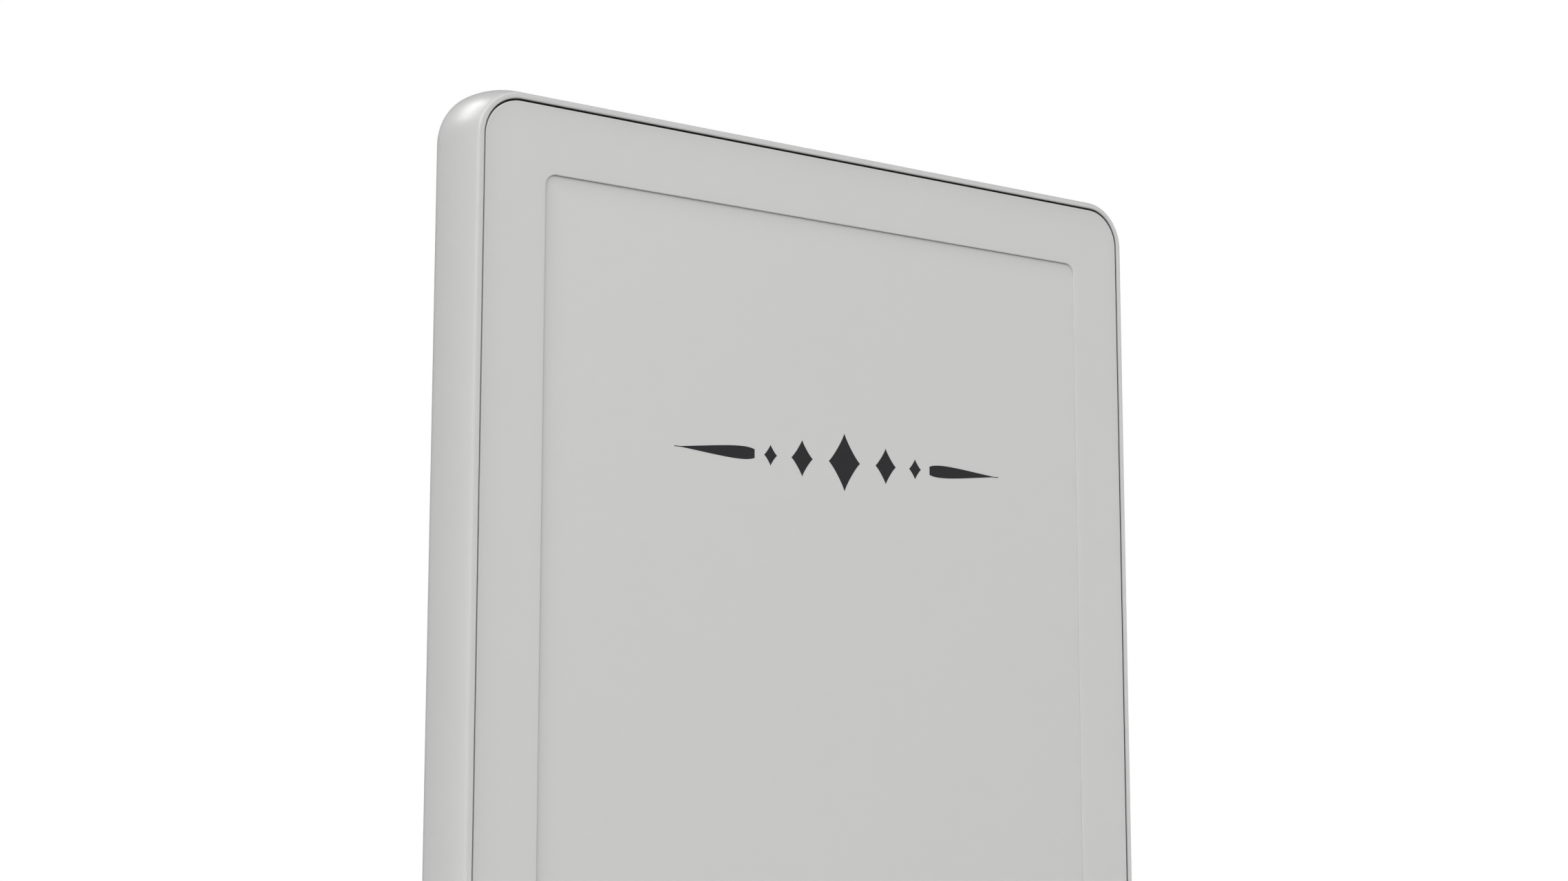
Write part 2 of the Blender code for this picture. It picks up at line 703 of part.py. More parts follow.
def add_screws():
    """Small flat-headed screws, each turned from a half section about its axis."""
    head_front, head_back = SCREW_HEAD_DEPTHS
    for name, x, z, _ in screw_places():
        section = [
            (0.0, head_front),
            (SCREW_HEAD_RADIUS, head_front),
            (SCREW_HEAD_RADIUS, head_back),
            (SCREW_RADIUS, head_back),
            (SCREW_RADIUS, SCREW_END_DEPTH),
            (0.0, SCREW_END_DEPTH),
        ]
        mesh = bmesh.new()
        points = [mesh.verts.new((radius, 0, depth)) for radius, depth in section]
        for start, end in zip(points, points[1:]):
            mesh.edges.new((start, end))
        bmesh.ops.spin(
            mesh,
            geom=mesh.verts[:] + mesh.edges[:],
            cent=(0, 0, 0),
            axis=(0, 0, 1),
            angle=2 * math.pi,
            steps=SCREW_STEPS,
            use_merge=True,
        )
        bmesh.ops.remove_doubles(mesh, verts=mesh.verts, dist=MERGE_DISTANCE)
        bmesh.ops.recalc_face_normals(mesh, faces=mesh.faces)
        where = back_frame(x, 0.0, z)
        screw = add_object(f"screw_{name}", mesh, NICKEL, where)
        recess = cross_outline(SCREW_RECESS_LENGTH, SCREW_RECESS_WIDTH)
        span = (head_front - MM, head_front + SCREW_RECESS_DEPTH)
        cut(screw, "recess", prism(recess, *span), where)


def add_battery():
    half = CELL_WIDTH / 2
    body = depth_box((-half, half), CELL_DEPTHS, (CELL_BOTTOM, CELL_TOP))
    cell = add_object("battery_cell", body, POUCH)
    soften(cell, CELL_EDGE, 3)
    terrace_z = (CELL_TERRACE_BOTTOM, CELL_BOTTOM + MM)
    inset = half - CELL_TERRACE_INSET
    fuse(cell, "terrace", depth_box((-inset, inset), CELL_TERRACE_DEPTHS, terrace_z))
    add_board_block("battery_connector", about(PLUG_X, PLUG_WIDTH), PLUG_Z, PLUG_HEIGHT, IVORY)
    for sign, label, finish in ((-1, "positive", RED), (1, "negative", BLACK)):
        add_lead(f"battery_lead_{label}", PLUG_X + sign * LEAD_SPACING / 2, sign, finish)


def add_lead(name, x, sign, finish):
    """A short insulated wire from the cell's terrace down to its plug."""
    curve = bpy.data.curves.new(name, "CURVE")
    curve.dimensions = "3D"
    curve.bevel_depth = LEAD_RADIUS
    curve.bevel_resolution = 2
    curve.use_fill_caps = True
    spline = curve.splines.new("POLY")
    spline.points.add(LEAD_STEPS)
    top = CELL_TERRACE_BOTTOM - LEAD_END_GAP
    bottom = PLUG_Z[1] + LEAD_END_GAP
    depth_in, depth_out = LEAD_DEPTHS
    for i in range(LEAD_STEPS + 1):
        share = i / LEAD_STEPS
        ease = share * share * (3 - 2 * share)
        bow = sign * LEAD_BOW * math.sin(math.pi * share)
        depth = depth_in + (depth_out - depth_in) * ease
        spline.points[i].co = (x + bow, y_at(depth), top + (bottom - top) * share, 1.0)
    obj = bpy.data.objects.new(name, curve)
    curve.materials.append(finish_material(name + "_finish", finish))
    bpy.context.scene.collection.objects.link(obj)


def add_ring(name, depths, finish):
    """A flat ring centred on the origin."""
    outer = circle_outline(RING_RADII[1], RING_STEPS)
    inner = circle_outline(RING_RADII[0], RING_STEPS)
    rings = [ring_at(outer, depths[0]), ring_at(outer, depths[1])]
    rings += [ring_at(inner, depths[1]), ring_at(inner, depths[0])]
    add_object(name, loft(rings, endless=True), finish)


# ---------------------------------------------------------------- board and its parts


def add_main_board():
    middle = (BOARD_TOP + BOARD_BOTTOM) / 2
    height = BOARD_TOP - BOARD_BOTTOM
    outline = rounded_outline(BOARD_WIDTH, height, BOARD_CORNER, 4, centre=(0.0, middle))
    board = add_object("main_board", loft([ring_at(outline, d) for d in BOARD_DEPTHS]), BOARD_GREEN)
    through = (BOARD_DEPTHS[0] - MM, BOARD_DEPTHS[1] + MM)
    notch_x = about(0.0, USB_WIDTH + 2 * BOARD_NOTCH_GAP)
    notch_z = (BOARD_BOTTOM - MM, USB_Z[1] + BOARD_NOTCH_GAP)
    cut(board, "usb_notch", depth_box(notch_x, through, notch_z))
    cut(board, "flex_slot", depth_box(about(0.0, BOARD_SLOT_WIDTH), through, BOARD_SLOT_Z))
    for name, x, z, post_top in screw_places():
        if post_top == BOARD_POST_TOP:
            hole = circle_outline(SCREW_RADIUS + 2 * SCREW_CLEARANCE, SCREW_STEPS)
            cut(board, f"hole_{name}", prism(hole, 0.0, BODY_DEPTH), back_frame(x, 0.0, z))


def add_board_block(name, x, z, height, finish, edge=BLOCK_EDGE):
    """A box-shaped component standing on the back of the board."""
    part = add_object(name, depth_box(x, (PART_SEAT, PART_SEAT + height), z), finish)
    soften(part, edge, 1)
    return part


def add_chips():
    """The charger chip, the radio's ceramic antenna and the processor under its shield."""
    can_x = about(CAN_CENTRE[0], CAN_SIZE[0])
    can_z = about(CAN_CENTRE[1], CAN_SIZE[1])
    add_shield_can(can_x, can_z)
    chip_x = about(CAN_CENTRE[0], PROCESSOR_SIDE)
    chip_z = about(CAN_CENTRE[1], PROCESSOR_SIDE)
    add_board_block("processor_chip", chip_x, chip_z, PROCESSOR_HEIGHT, BLACK, CHIP_EDGE)
    chip_x = about(CHARGER_CENTRE[0], CHARGER_SIDE)
    chip_z = about(CHARGER_CENTRE[1], CHARGER_SIDE)
    add_board_block("charger_chip", chip_x, chip_z, CHARGER_HEIGHT, BLACK, CHIP_EDGE)
    antenna_x = about(ANTENNA_CENTRE[0], ANTENNA_SIZE[0])
    antenna_z = about(ANTENNA_CENTRE[1], ANTENNA_SIZE[1])
    add_board_block("chip_antenna", antenna_x, antenna_z, ANTENNA_HEIGHT, CERAMIC, CHIP_EDGE)


def add_shield_can(x, z):
    """A thin steel lid, open towards the board."""
    mesh = depth_box(x, (PART_SEAT, PART_SEAT + CAN_HEIGHT), z)
    seat_y = y_at(PART_SEAT)
    open_side = [
        face
        for face in mesh.faces
        if all(abs(corner.co.y - seat_y) < MERGE_DISTANCE for corner in face.verts)
    ]
    bmesh.ops.delete(mesh, geom=open_side, context="FACES_ONLY")
    can = add_object("shield_can", mesh, NICKEL)
    sheet = can.modifiers.new("sheet", "SOLIDIFY")
    sheet.thickness = CAN_SHEET
    sheet.offset = -1.0
    sheet.use_even_offset = True


def add_flex_connector():
    """The connector that takes the display's tail, and the latch that slides out to free it."""
    body_x = about(0.0, CONNECTOR_WIDTH)
    body = add_board_block("flex_connector", body_x, CONNECTOR_Z, CONNECTOR_HEIGHT, IVORY)
    slot_depths = (TAIL_DEPTHS[1] - CARD_GAP, TAIL_DEPTHS[1] + FLEX_SHEET)
    slot_z = (CONNECTOR_Z[0] - MM, TAIL_END_Z + 2 * CARD_GAP)
    cut(body, "slot", depth_box(about(0.0, TAIL_WIDTH + 4 * CARD_GAP), slot_depths, slot_z))
    far = CONNECTOR_WIDTH / 2 + LATCH_GAP + LATCH_ARM
    near = CONNECTOR_WIDTH / 2 + LATCH_GAP
    low, high = LATCH_Z
    bar = low + LATCH_BAR
    outline = [(-far, low), (far, low), (far, high), (near, high)]
    outline += [(near, bar), (-near, bar), (-near, high), (-far, high)]
    points = [(x, -z) for x, z in reversed(outline)]
    where = back_frame(0.0, LATCH_DEPTHS[0], 0.0)
    latch = prism(points, 0.0, LATCH_DEPTHS[1] - LATCH_DEPTHS[0])
    add_object("flex_latch", latch, BLACK, where, pivot=(0.0, y_at(LATCH_DEPTHS[0]), low))


def add_usb_socket():
    """The charging socket: a drawn steel shell round a flat tongue."""
    length = USB_Z[1] - USB_Z[0]
    outer = usb_outline(0.0)
    inner = usb_outline(-USB_WALL)
    rings = [level(outer, 0.0), level(outer, length), level(inner, length), level(inner, 0.0)]
    where = facing(UP, RIGHT, Vector((0, y_at(USB_DEPTH), USB_Z[0])))
    add_object("usb_shell", loft(rings, endless=True), NICKEL, where)
    base = rounded_outline(*USB_BASE, USB_BASE_CORNER, 4)
    base_low = length - USB_BASE_INSET[1]
    tongue_base = prism(base, base_low, length - USB_BASE_INSET[0])
    tongue = add_object("usb_tongue", tongue_base, BLACK, where)
    blade = rounded_outline(*USB_TONGUE, USB_TONGUE[1] / 5, 1)
    blade_end = base_low + USB_BASE_INSET[0]
    fuse(tongue, "blade", prism(blade, USB_TONGUE_SETBACK, blade_end), where)


def add_card_socket():
    """The card's steel-topped socket, open at the casing's lower edge, and the card in it."""
    body = depth_box(about(CARD_X, SOCKET_WIDTH), (PART_SEAT, SOCKET_END_DEPTH), SOCKET_Z)
    socket = add_object("card_socket", body, NICKEL)
    bay_x = about(CARD_X, CARD_WIDTH + 2 * CARD_GAP)
    bay_depths = (CARD_DEPTHS[0] - CARD_GAP, CARD_DEPTHS[1] + CARD_GAP)
    bay_z = (SOCKET_Z[0] - MM, CARD_Z[1] + CARD_GAP)
    cut(socket, "card_bay", depth_box(bay_x, bay_depths, bay_z))
    where = back_frame(CARD_X, CARD_DEPTHS[0], CARD_Z[0])
    blank = prism(card_outline(), 0.0, CARD_DEPTHS[1] - CARD_DEPTHS[0])
    card = add_object("memory_card", blank, BLACK, where, where.translation)
    soften(card, BLOCK_EDGE, 1)


def card_outline():
    """The card seen from behind, with its narrower contact end and the notch beside it."""
    half = CARD_WIDTH / 2
    length = CARD_Z[1] - CARD_Z[0]
    shoulder = length - CARD_SHOULDER
    narrow = half - CARD_NOTCH
    upright = [(-half, 0.0), (half, 0.0), (half, shoulder)]
    upright += [(narrow, shoulder + CARD_NOTCH), (narrow, length), (-half, length)]
    return [(x, -z) for x, z in reversed(upright)]


def add_side_board():
    """The flex along the right side, its steel bracket and the plug that joins it to the board."""
    wide, narrow = SIDE_FLEX_DEPTHS
    top, step, end = SIDE_FLEX_Z
    outline = [(wide[0], top), (wide[1], top), (narrow[1], end), (narrow[0], end)]
    outline += [(narrow[0], step), (wide[0], step)]
    points = [(y_at(depth), z) for depth, z in outline]
    where = facing(RIGHT, BACK, Vector((SIDE_FLEX_X, 0, 0)))
    add_object("side_flex", prism(points, 0.0, FLEX_SHEET), AMBER, where)
    low_x, high_x = BRACKET_X
    upright = depth_box((high_x - BRACKET_SHEET, high_x), BRACKET_DEPTHS, BRACKET_Z)
    bracket = add_object("side_bracket", upright, STEEL)
    foot_depths = (BRACKET_DEPTHS[0], BRACKET_DEPTHS[0] + BRACKET_SHEET)
    foot_z = (BRACKET_Z[0] + MM, BRACKET_Z[1] - MM)
    fuse(bracket, "foot", depth_box((low_x, high_x - BRACKET_SHEET / 2), foot_depths, foot_z))
    plug_x = about(SIDE_FLEX_X + FLEX_SHEET / 2, SIDE_PLUG_WIDTH)
    plug = add_board_block("side_connector", plug_x, SIDE_PLUG_Z, SIDE_PLUG_HEIGHT, IVORY)
    slot_x = (SIDE_FLEX_X - CARD_GAP, SIDE_FLEX_X + FLEX_SHEET + CARD_GAP)
    slot_depths = (PART_SEAT - MM, narrow[1] + CARD_GAP)
    cut(plug, "slot", depth_box(slot_x, slot_depths, (end - CARD_GAP, SIDE_PLUG_Z[1] + MM)))


# ---------------------------------------------------------------- keys and switches


def add_switch(name, where, size, body, rise):
    """A low switch: a metal-topped box with a round button, standing on its local zero."""
    length, width = size
    block = box(about(0, length), about(0, width), (0.0, body))
    switch = add_object(name, block, NICKEL, where)
    button = circle_outline(SWITCH_BUTTON_RADIUS, POST_HOLE_STEPS)
    fuse(switch, "button", prism(button, body / 2, body + rise), where)


def add_key(name, where, size, stem, feet, pivot, rib=None):
    """A key: a rounded cap on a stem, with a skirt that stops it falling out.

    The local zero is the cap's outer face, and stem is the height at which the skirt starts.
    feet lists where the pressing feet are along the key. A rocker's rib reaches down to rib.
    """
    length, width = size
    skirt = stem - KEY_SKIRT_THICKNESS
    cap = key_outline(length, width)
    top = key_outline(length, width, -KEY_EDGE, -KEY_EDGE)
    brim = key_outline(length, width, KEY_SKIRT, KEY_SKIRT)
    rings = [level(top, 0.0), level(cap, -KEY_EDGE), level(cap, stem)]
    rings += [level(brim, stem), level(brim, skirt)]
    key = add_object(name, loft(rings), KEY_WHITE, where, pivot)
    if rib is not None:
        fulcrum = box(about(0, KEY_RIB), about(0, width * KEY_RIB_SHARE), (rib, stem))
        fuse(key, "rib", fulcrum, where)
    for number, place in enumerate(feet):
        span = (skirt - KEY_FOOT_DROP, stem)
        foot = box(about(place, KEY_FOOT), about(0, width * KEY_FOOT_SHARE), span)
        fuse(key, f"foot_{number}", foot, where)


def add_front_keys():
    """Two long rocker keys below the screen, with a switch behind each end."""
    feet = (-FRONT_SWITCH_REACH, FRONT_SWITCH_REACH)
    size = (FRONT_KEY_LENGTH, FRONT_KEY_WIDTH)
    stem = -(FRONT_SKIRT_DEPTH + FRONT_KEY_PROUD)
    rib = -(FRONT_PIVOT_DEPTH + FRONT_KEY_PROUD)
    for side, sign in (("left", -1), ("right", 1)):
        x = sign * FRONT_KEY_X
        where = facing(FRONT, RIGHT, Vector((x, y_at(-FRONT_KEY_PROUD), FRONT_KEY_Z)))
        pivot = Vector((x, y_at(FRONT_PIVOT_DEPTH), FRONT_KEY_Z))
        add_key(f"front_key_{side}", where, size, stem, feet, pivot, rib)
        for place, reach in (("outer", sign), ("inner", -sign)):
            seat_x = x + reach * FRONT_SWITCH_REACH
            seat = facing(FRONT, RIGHT, Vector((seat_x, y_at(FRONT_SWITCH_SEAT), FRONT_KEY_Z)))
            name = f"front_switch_{side}_{place}"
            add_switch(name, seat, FRONT_SWITCH_SIZE, FRONT_SWITCH_BODY, FRONT_SWITCH_RISE)


def add_side_keys():
    """The page rocker and the power key on the right edge, and their switches."""
    y = y_at(SIDE_KEY_DEPTH)
    stem = SIDE_SKIRT_X - SIDE_KEY_X
    rib = PAGE_PIVOT_X - SIDE_KEY_X
    where = facing(RIGHT, UP, Vector((SIDE_KEY_X, y, PAGE_KEY_Z)))
    feet = (-PAGE_SWITCH_REACH, PAGE_SWITCH_REACH)
    size = (PAGE_KEY_LENGTH, SIDE_KEY_WIDTH)
    add_key("page_key", where, size, stem, feet, Vector((PAGE_PIVOT_X, y, PAGE_KEY_Z)), rib)
    where = facing(RIGHT, UP, Vector((SIDE_KEY_X, y, POWER_KEY_Z)))
    size = (POWER_KEY_LENGTH, SIDE_KEY_WIDTH)
    add_key("power_key", where, size, stem, (0.0,), where.translation)
    for name, z in (
        ("page_switch_back", PAGE_KEY_Z - PAGE_SWITCH_REACH),
        ("page_switch_forward", PAGE_KEY_Z + PAGE_SWITCH_REACH),
        ("power_switch", POWER_KEY_Z),
    ):
        seat = facing(RIGHT, UP, Vector((SIDE_SWITCH_X, y, z)))
        add_switch(name, seat, SIDE_SWITCH_SIZE, SIDE_SWITCH_BODY, SIDE_SWITCH_RISE)


def add_reset():
    """The reset switch behind its pinhole, with a plunger that slides in a blind bore."""
    depths = (PART_SEAT, RESET_END_DEPTH)
    body = add_object("reset_switch", depth_box(about(RESET_X, RESET_WIDTH), depths, RESET_Z), NICKEL)
    bore = circle_outline(RESET_RADIUS + CARD_GAP, SCREW_STEPS)
    where = facing(DOWN, RIGHT, Vector((RESET_X, y_at(RESET_DEPTH), RESET_Z[0])))
    cut(body, "bore", prism(bore, -RESET_BORE, MM), where)
    plunger = prism(circle_outline(RESET_RADIUS, SCREW_STEPS), -RESET_PLUNGER[0], RESET_PLUNGER[1])
    add_object("reset_button", plunger, BLACK, where, where.translation)


# ---------------------------------------------------------------- assembly


def main():
    clear_scene()
    add_rear_shell()
    add_front_bezel()
    add_bezel_adhesive()
    add_display()
    add_display_flex()
    add_mid_frame()
    add_screws()
    add_battery()
    add_ring("magnet_ring", RING_DEPTHS, NICKEL)
    add_ring("magnet_backing", SHUNT_DEPTHS, STEEL)
    add_main_board()
    add_chips()
    add_flex_connector()
    add_usb_socket()
    add_card_socket()
    add_side_board()
    add_front_keys()
    add_side_keys()
    add_reset()


main()
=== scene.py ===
"""Looks of a pocket e-paper reader: casing, panel, screen, keys, sockets and studio.

The reader stands upright with its screen facing -Y. Every piece takes its place from the
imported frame, in metres, and rides on the body of the part that it stands for.
"""

from __future__ import annotations

import logging
import math
from collections.abc import Iterable, Sequence
from dataclasses import dataclass, field, replace
from enum import Enum
from functools import cache

import bmesh
import bpy
from mathutils import Matrix, Vector


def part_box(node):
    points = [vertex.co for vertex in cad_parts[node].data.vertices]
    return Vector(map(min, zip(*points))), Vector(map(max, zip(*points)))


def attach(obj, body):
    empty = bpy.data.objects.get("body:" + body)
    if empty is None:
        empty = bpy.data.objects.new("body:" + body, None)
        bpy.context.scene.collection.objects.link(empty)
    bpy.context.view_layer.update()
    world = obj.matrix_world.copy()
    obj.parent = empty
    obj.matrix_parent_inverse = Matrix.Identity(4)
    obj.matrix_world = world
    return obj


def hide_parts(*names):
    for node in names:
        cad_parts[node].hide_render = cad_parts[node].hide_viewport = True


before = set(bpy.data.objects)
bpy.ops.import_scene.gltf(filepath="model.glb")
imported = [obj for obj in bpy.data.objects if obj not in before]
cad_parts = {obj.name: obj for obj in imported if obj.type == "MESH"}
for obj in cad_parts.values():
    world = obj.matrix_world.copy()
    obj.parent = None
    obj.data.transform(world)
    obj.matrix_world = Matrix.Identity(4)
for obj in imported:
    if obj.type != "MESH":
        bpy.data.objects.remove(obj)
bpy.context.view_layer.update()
log = logging.getLogger("reader")

MM = 0.001
FRONT = Vector((0.0, -1.0, 0.0))
RIGHT = Vector((1.0, 0.0, 0.0))
UP = Vector((0.0, 0.0, 1.0))
DOWN = Vector((0.0, 0.0, -1.0))
Point = tuple[float, float]
Space = tuple[Vector, Vector]
Socket = bpy.types.NodeSocket
Mesh = bmesh.types.BMesh

# Turns an outline's heights into depths. It mirrors, so the mesh needs outward() after it.
SWAP_YZ = Matrix(((1, 0, 0, 0), (0, 0, 1, 0), (0, 1, 0, 0), (0, 0, 0, 1)))


# ------------------------------------------------------------------ node trees


class NodeSketch:
    """A material's node tree, drawn with short calls."""

    def __init__(self, name: str) -> None:
        """Starts a new material with one Principled shader.

        Args:
            name: The material's name.
        """
        self.material = bpy.data.materials.new(name)
        self.material.use_nodes = True
        self.tree = self.material.node_tree
        self.shader = self.tree.nodes["Principled BSDF"]
        self.place = self.tree.nodes.new("ShaderNodeTexCoord").outputs["Object"]

    def set(self, **values: float | Sequence[float]) -> None:
        """Sets sockets of the shader itself; an underscore in a name stands for a space."""
        for name, value in values.items():
            self.shader.inputs[name.replace("_", " ")].default_value = value

    def link(self, source: Socket, target: Socket) -> None:
        """Joins two sockets."""
        self.tree.links.new(source, target)

    def add(self, kind: str, **inputs: Socket | float | Sequence[float]) -> bpy.types.Node:
        """Adds a node and fills its inputs.

        Args:
            kind: The node's type, without the "ShaderNode" before it.
            inputs: A socket to join, or a value to set, for each input. An underscore in
                a name stands for a space.

        Returns:
            The node.
        """
        node = self.tree.nodes.new("ShaderNode" + kind)
        for name, value in inputs.items():
            target = node.inputs[name.replace("_", " ")]
            if isinstance(value, Socket):
                self.link(value, target)
            else:
                target.default_value = value
        return node

    def stretched(self, scale: Sequence[float]) -> Socket:
        """Object coordinates scaled by three factors, along X, Y and Z."""
        return self.add("Mapping", Scale=scale, Vector=self.place).outputs["Vector"]

    def noise(
        self,
        grain: float,
        detail: float = 3.0,
        roughness: float = 0.55,
        place: Socket | None = None,
    ) -> Socket:
        """A cloudy value from 0 to 1.

        Args:
            grain: Rough size of one cloud, in metres.
            detail: Number of finer octaves.
            roughness: Weight of the finer octaves.
            place: Vector to read instead of the object's own coordinates.

        Returns:
            The value socket.
        """
        vector = place or self.place
        node = self.add(
            "TexNoise", Scale=1.0 / grain, Detail=detail, Roughness=roughness, Vector=vector
        )
        return node.outputs["Fac"]

    def cells(self, size: float) -> Socket:
        """Distance to the nearest of many points scattered a size apart, in metres."""
        node = self.add("TexVoronoi", Scale=1.0 / size, Vector=self.place)
        return node.outputs["Distance"]

    def stripes(self, pitch: float, direction: str) -> Socket:
        """Parallel soft stripes across one axis.

        Args:
            pitch: Distance from one stripe to the next, in metres.
            direction: The axis that the stripes repeat along, "X", "Y" or "Z".

        Returns:
            The value socket.
        """
        node = self.add("TexWave", Scale=math.pi / (10.0 * pitch), Vector=self.place)
        node.bands_direction = direction
        return node.outputs["Fac"]

    def axis(self, name: str) -> Socket:
        """The object's own place along the axis "X", "Y" or "Z", in metres."""
        return self.add("SeparateXYZ", Vector=self.place).outputs[name]

    def inset(self, half: Point, corner: float, centre: Point = (0.0, 0.0)) -> Socket:
        """Distance inwards from the edge of an upright rounded rectangle.

        Args:
            half: Half its width and half its height.
            corner: Radius of its corners.
            centre: Its middle, across and up.

        Returns:
            The distance socket, in metres, which is negative outside.
        """
        beyond = []
        for name, size, middle in zip("XZ", half, centre):
            shift = self.calc("SUBTRACT", self.axis(name), middle)
            beyond.append(self.calc("SUBTRACT", self.calc("ABSOLUTE", shift), size - corner))
        outer = [self.calc("MAXIMUM", value, 0.0) for value in beyond]
        squares = [self.calc("MULTIPLY", value, value) for value in outer]
        bend = self.calc("SQRT", self.calc("ADD", *squares))
        flat = self.calc("MINIMUM", self.calc("MAXIMUM", *beyond), 0.0)
        return self.calc("SUBTRACT", corner, self.calc("ADD", bend, flat))

    def dimmed(self, colour: Socket, factor: Socket) -> Socket:
        """A colour multiplied by a value.

        Args:
            colour: The colour socket.
            factor: The value socket.

        Returns:
            The dimmed colour socket.
        """
        node = self.add("VectorMath")
        node.operation = "SCALE"
        self.link(colour, node.inputs[0])
        self.link(factor, node.inputs["Scale"])
        return node.outputs[0]

    def calc(self, operation: str, *values: Socket | float) -> Socket:
        """One step of arithmetic.

        Args:
            operation: The Math node's operation.
            values: Sockets or plain numbers, in order.

        Returns:
            The value socket.
        """
        node = self.add("Math")
        node.operation = operation
        for value, target in zip(values, node.inputs):
            if isinstance(value, float):
                target.default_value = value
            else:
                self.link(value, target)
        return node.outputs[0]

    def spread(
        self, value: Socket, low: float, high: float, start: float = 0.0, end: float = 1.0
    ) -> Socket:
        """Maps a value from the span start..end to the span low..high.

        Args:
            value: The socket to map.
            low: Result at start.
            high: Result at end.
            start: Low end of the input span.
            end: High end of the input span.

        Returns:
            The mapped value socket.
        """
        spans = {"From_Min": start, "From_Max": end, "To_Min": low, "To_Max": high}
        return self.add("MapRange", Value=value, **spans).outputs["Result"]

    def blend(
        self, share: Socket, first: Sequence[float], second: Sequence[float]
    ) -> Socket:
        """A colour between two others.

        Args:
            share: Socket that picks the second colour's share.
            first: Colour at share 0.
            second: Colour at share 1.

        Returns:
            The colour socket.
        """
        node = self.tree.nodes.new("ShaderNodeMix")
        node.data_type = "RGBA"
        for name, colour in (("A", first), ("B", second)):
            socket = next(s for s in node.inputs if s.name == name and s.type == "RGBA")
            socket.default_value = (*colour, 1.0)
        self.link(share, node.inputs["Factor"])
        return next(s for s in node.outputs if s.type == "RGBA")

    def product(self, first: Socket, second: Socket) -> Socket:
        """Two values multiplied."""
        return self.calc("MULTIPLY", first, second)

    def bump(self, height: Socket, depth: float) -> None:
        """Gives the shader relief.

        Args:
            height: Socket with the relief, from 0 to 1.
            depth: Height of the relief, in metres.
        """
        node = self.add("Bump", Distance=depth, Height=height)
        node.inputs["Strength"].default_value = 1.0
        self.link(node.outputs["Normal"], self.shader.inputs["Normal"])

    def colour(self, value: Socket) -> None:
        """Feeds the base colour."""
        self.link(value, self.shader.inputs["Base Color"])

    def roughness(self, value: Socket) -> None:
        """Feeds the roughness."""
        self.link(value, self.shader.inputs["Roughness"])


# ------------------------------------------------------------------ finishes


# Half sizes and middles of the front panel's and the window's outlines, across and up
PANEL_HALF = (33.0 * MM, 55.5 * MM)
PANEL_CORNER = 3.1 * MM
WINDOW_HALF = (27.7 * MM, 46.2 * MM)
WINDOW_MIDDLE = (0.0, 4.0 * MM)
WINDOW_CORNER = 0.95 * MM
FRONT_Y = -5.9 * MM


def shade(colour: Sequence[float], factor: float) -> tuple[float, float, float]:
    """A colour made lighter or darker by a factor."""
    return tuple(min(1.0, channel * factor) for channel in colour)


@dataclass(frozen=True)
class Finish:
    """What one kind of surface looks like."""

    name: str
    tone: tuple[float, float, float]
    gloss_roughness: float = 0.5

    def draw(self, sketch: NodeSketch) -> None:
        """Draws the finish on a node tree; each kind of surface has its own."""
        raise NotImplementedError

    def tint(self, sketch: NodeSketch, share: Socket, low: float, high: float) -> Socket:
        """The finish's tone, made darker or lighter by a value.

        Args:
            sketch: The node tree to draw on.
            share: Socket from 0 to 1.
            low: Factor on the tone where it is 0.
            high: Factor on the tone where it is 1.

        Returns:
            The colour socket.
        """
        return sketch.blend(share, shade(self.tone, low), shade(self.tone, high))

    def roughen(self, sketch: NodeSketch, value: Socket, under: float, over: float) -> None:
        """Feeds a roughness that a value takes a little under and over the finish's own.

        Args:
            sketch: The node tree to draw on.
            value: Socket from 0 to 1.
            under: How far below it goes where the value is 0.
            over: How far above it goes where the value is 1.
        """
        low, high = self.gloss_roughness - under, self.gloss_roughness + over
        sketch.roughness(sketch.spread(value, low, high))

    @cache
    def make(self) -> bpy.types.Material:
        """The finish's material, made once and then shared.

        Returns:
            The material.
        """
        sketch = NodeSketch(self.name)
        sketch.set(Base_Color=(*self.tone, 1.0), Roughness=self.gloss_roughness)
        self.draw(sketch)
        return sketch.material


@dataclass(frozen=True)
class PaintedEdgeShade:
    """Painted shade just inside the edge of an upright rounded rectangle."""

    half: Point
    corner: float
    reach: float
    least: float
    centre: Point = (0.0, 0.0)

    @classmethod
    def left_and_top(
        cls, half: Point, middle: Point, corner: float, reach: float, least: float
    ) -> PaintedEdgeShade:
        """Painted shade along a rectangle's left and top edges, its other two moved out of the
        way.

        Args:
            half: Half the rectangle's width and half its height.
            middle: Its middle, across and up.
            corner: Radius of its corners.
            reach: How fast the shade fades inwards.
            least: Share of the colour that is left at the edge.

        Returns:
            The shade.
        """
        slide = 1.0 * MM
        grown = (half[0] + slide, half[1] + slide)
        return cls(grown, corner, reach, least, (middle[0] + slide, middle[1] - slide))

    def factor(self, sketch: NodeSketch) -> Socket:
        """How much of its colour a surface keeps.

        Args:
            sketch: The node tree to draw on.

        Returns:
            The value socket, from least at the edge to 1 well inside.
        """
        inward = sketch.calc("MAXIMUM", sketch.inset(self.half, self.corner, self.centre), 0.0)
        fade = sketch.calc("EXPONENT", sketch.calc("MULTIPLY", inward, -1.0 / self.reach))
        return sketch.spread(fade, 1.0, self.least)


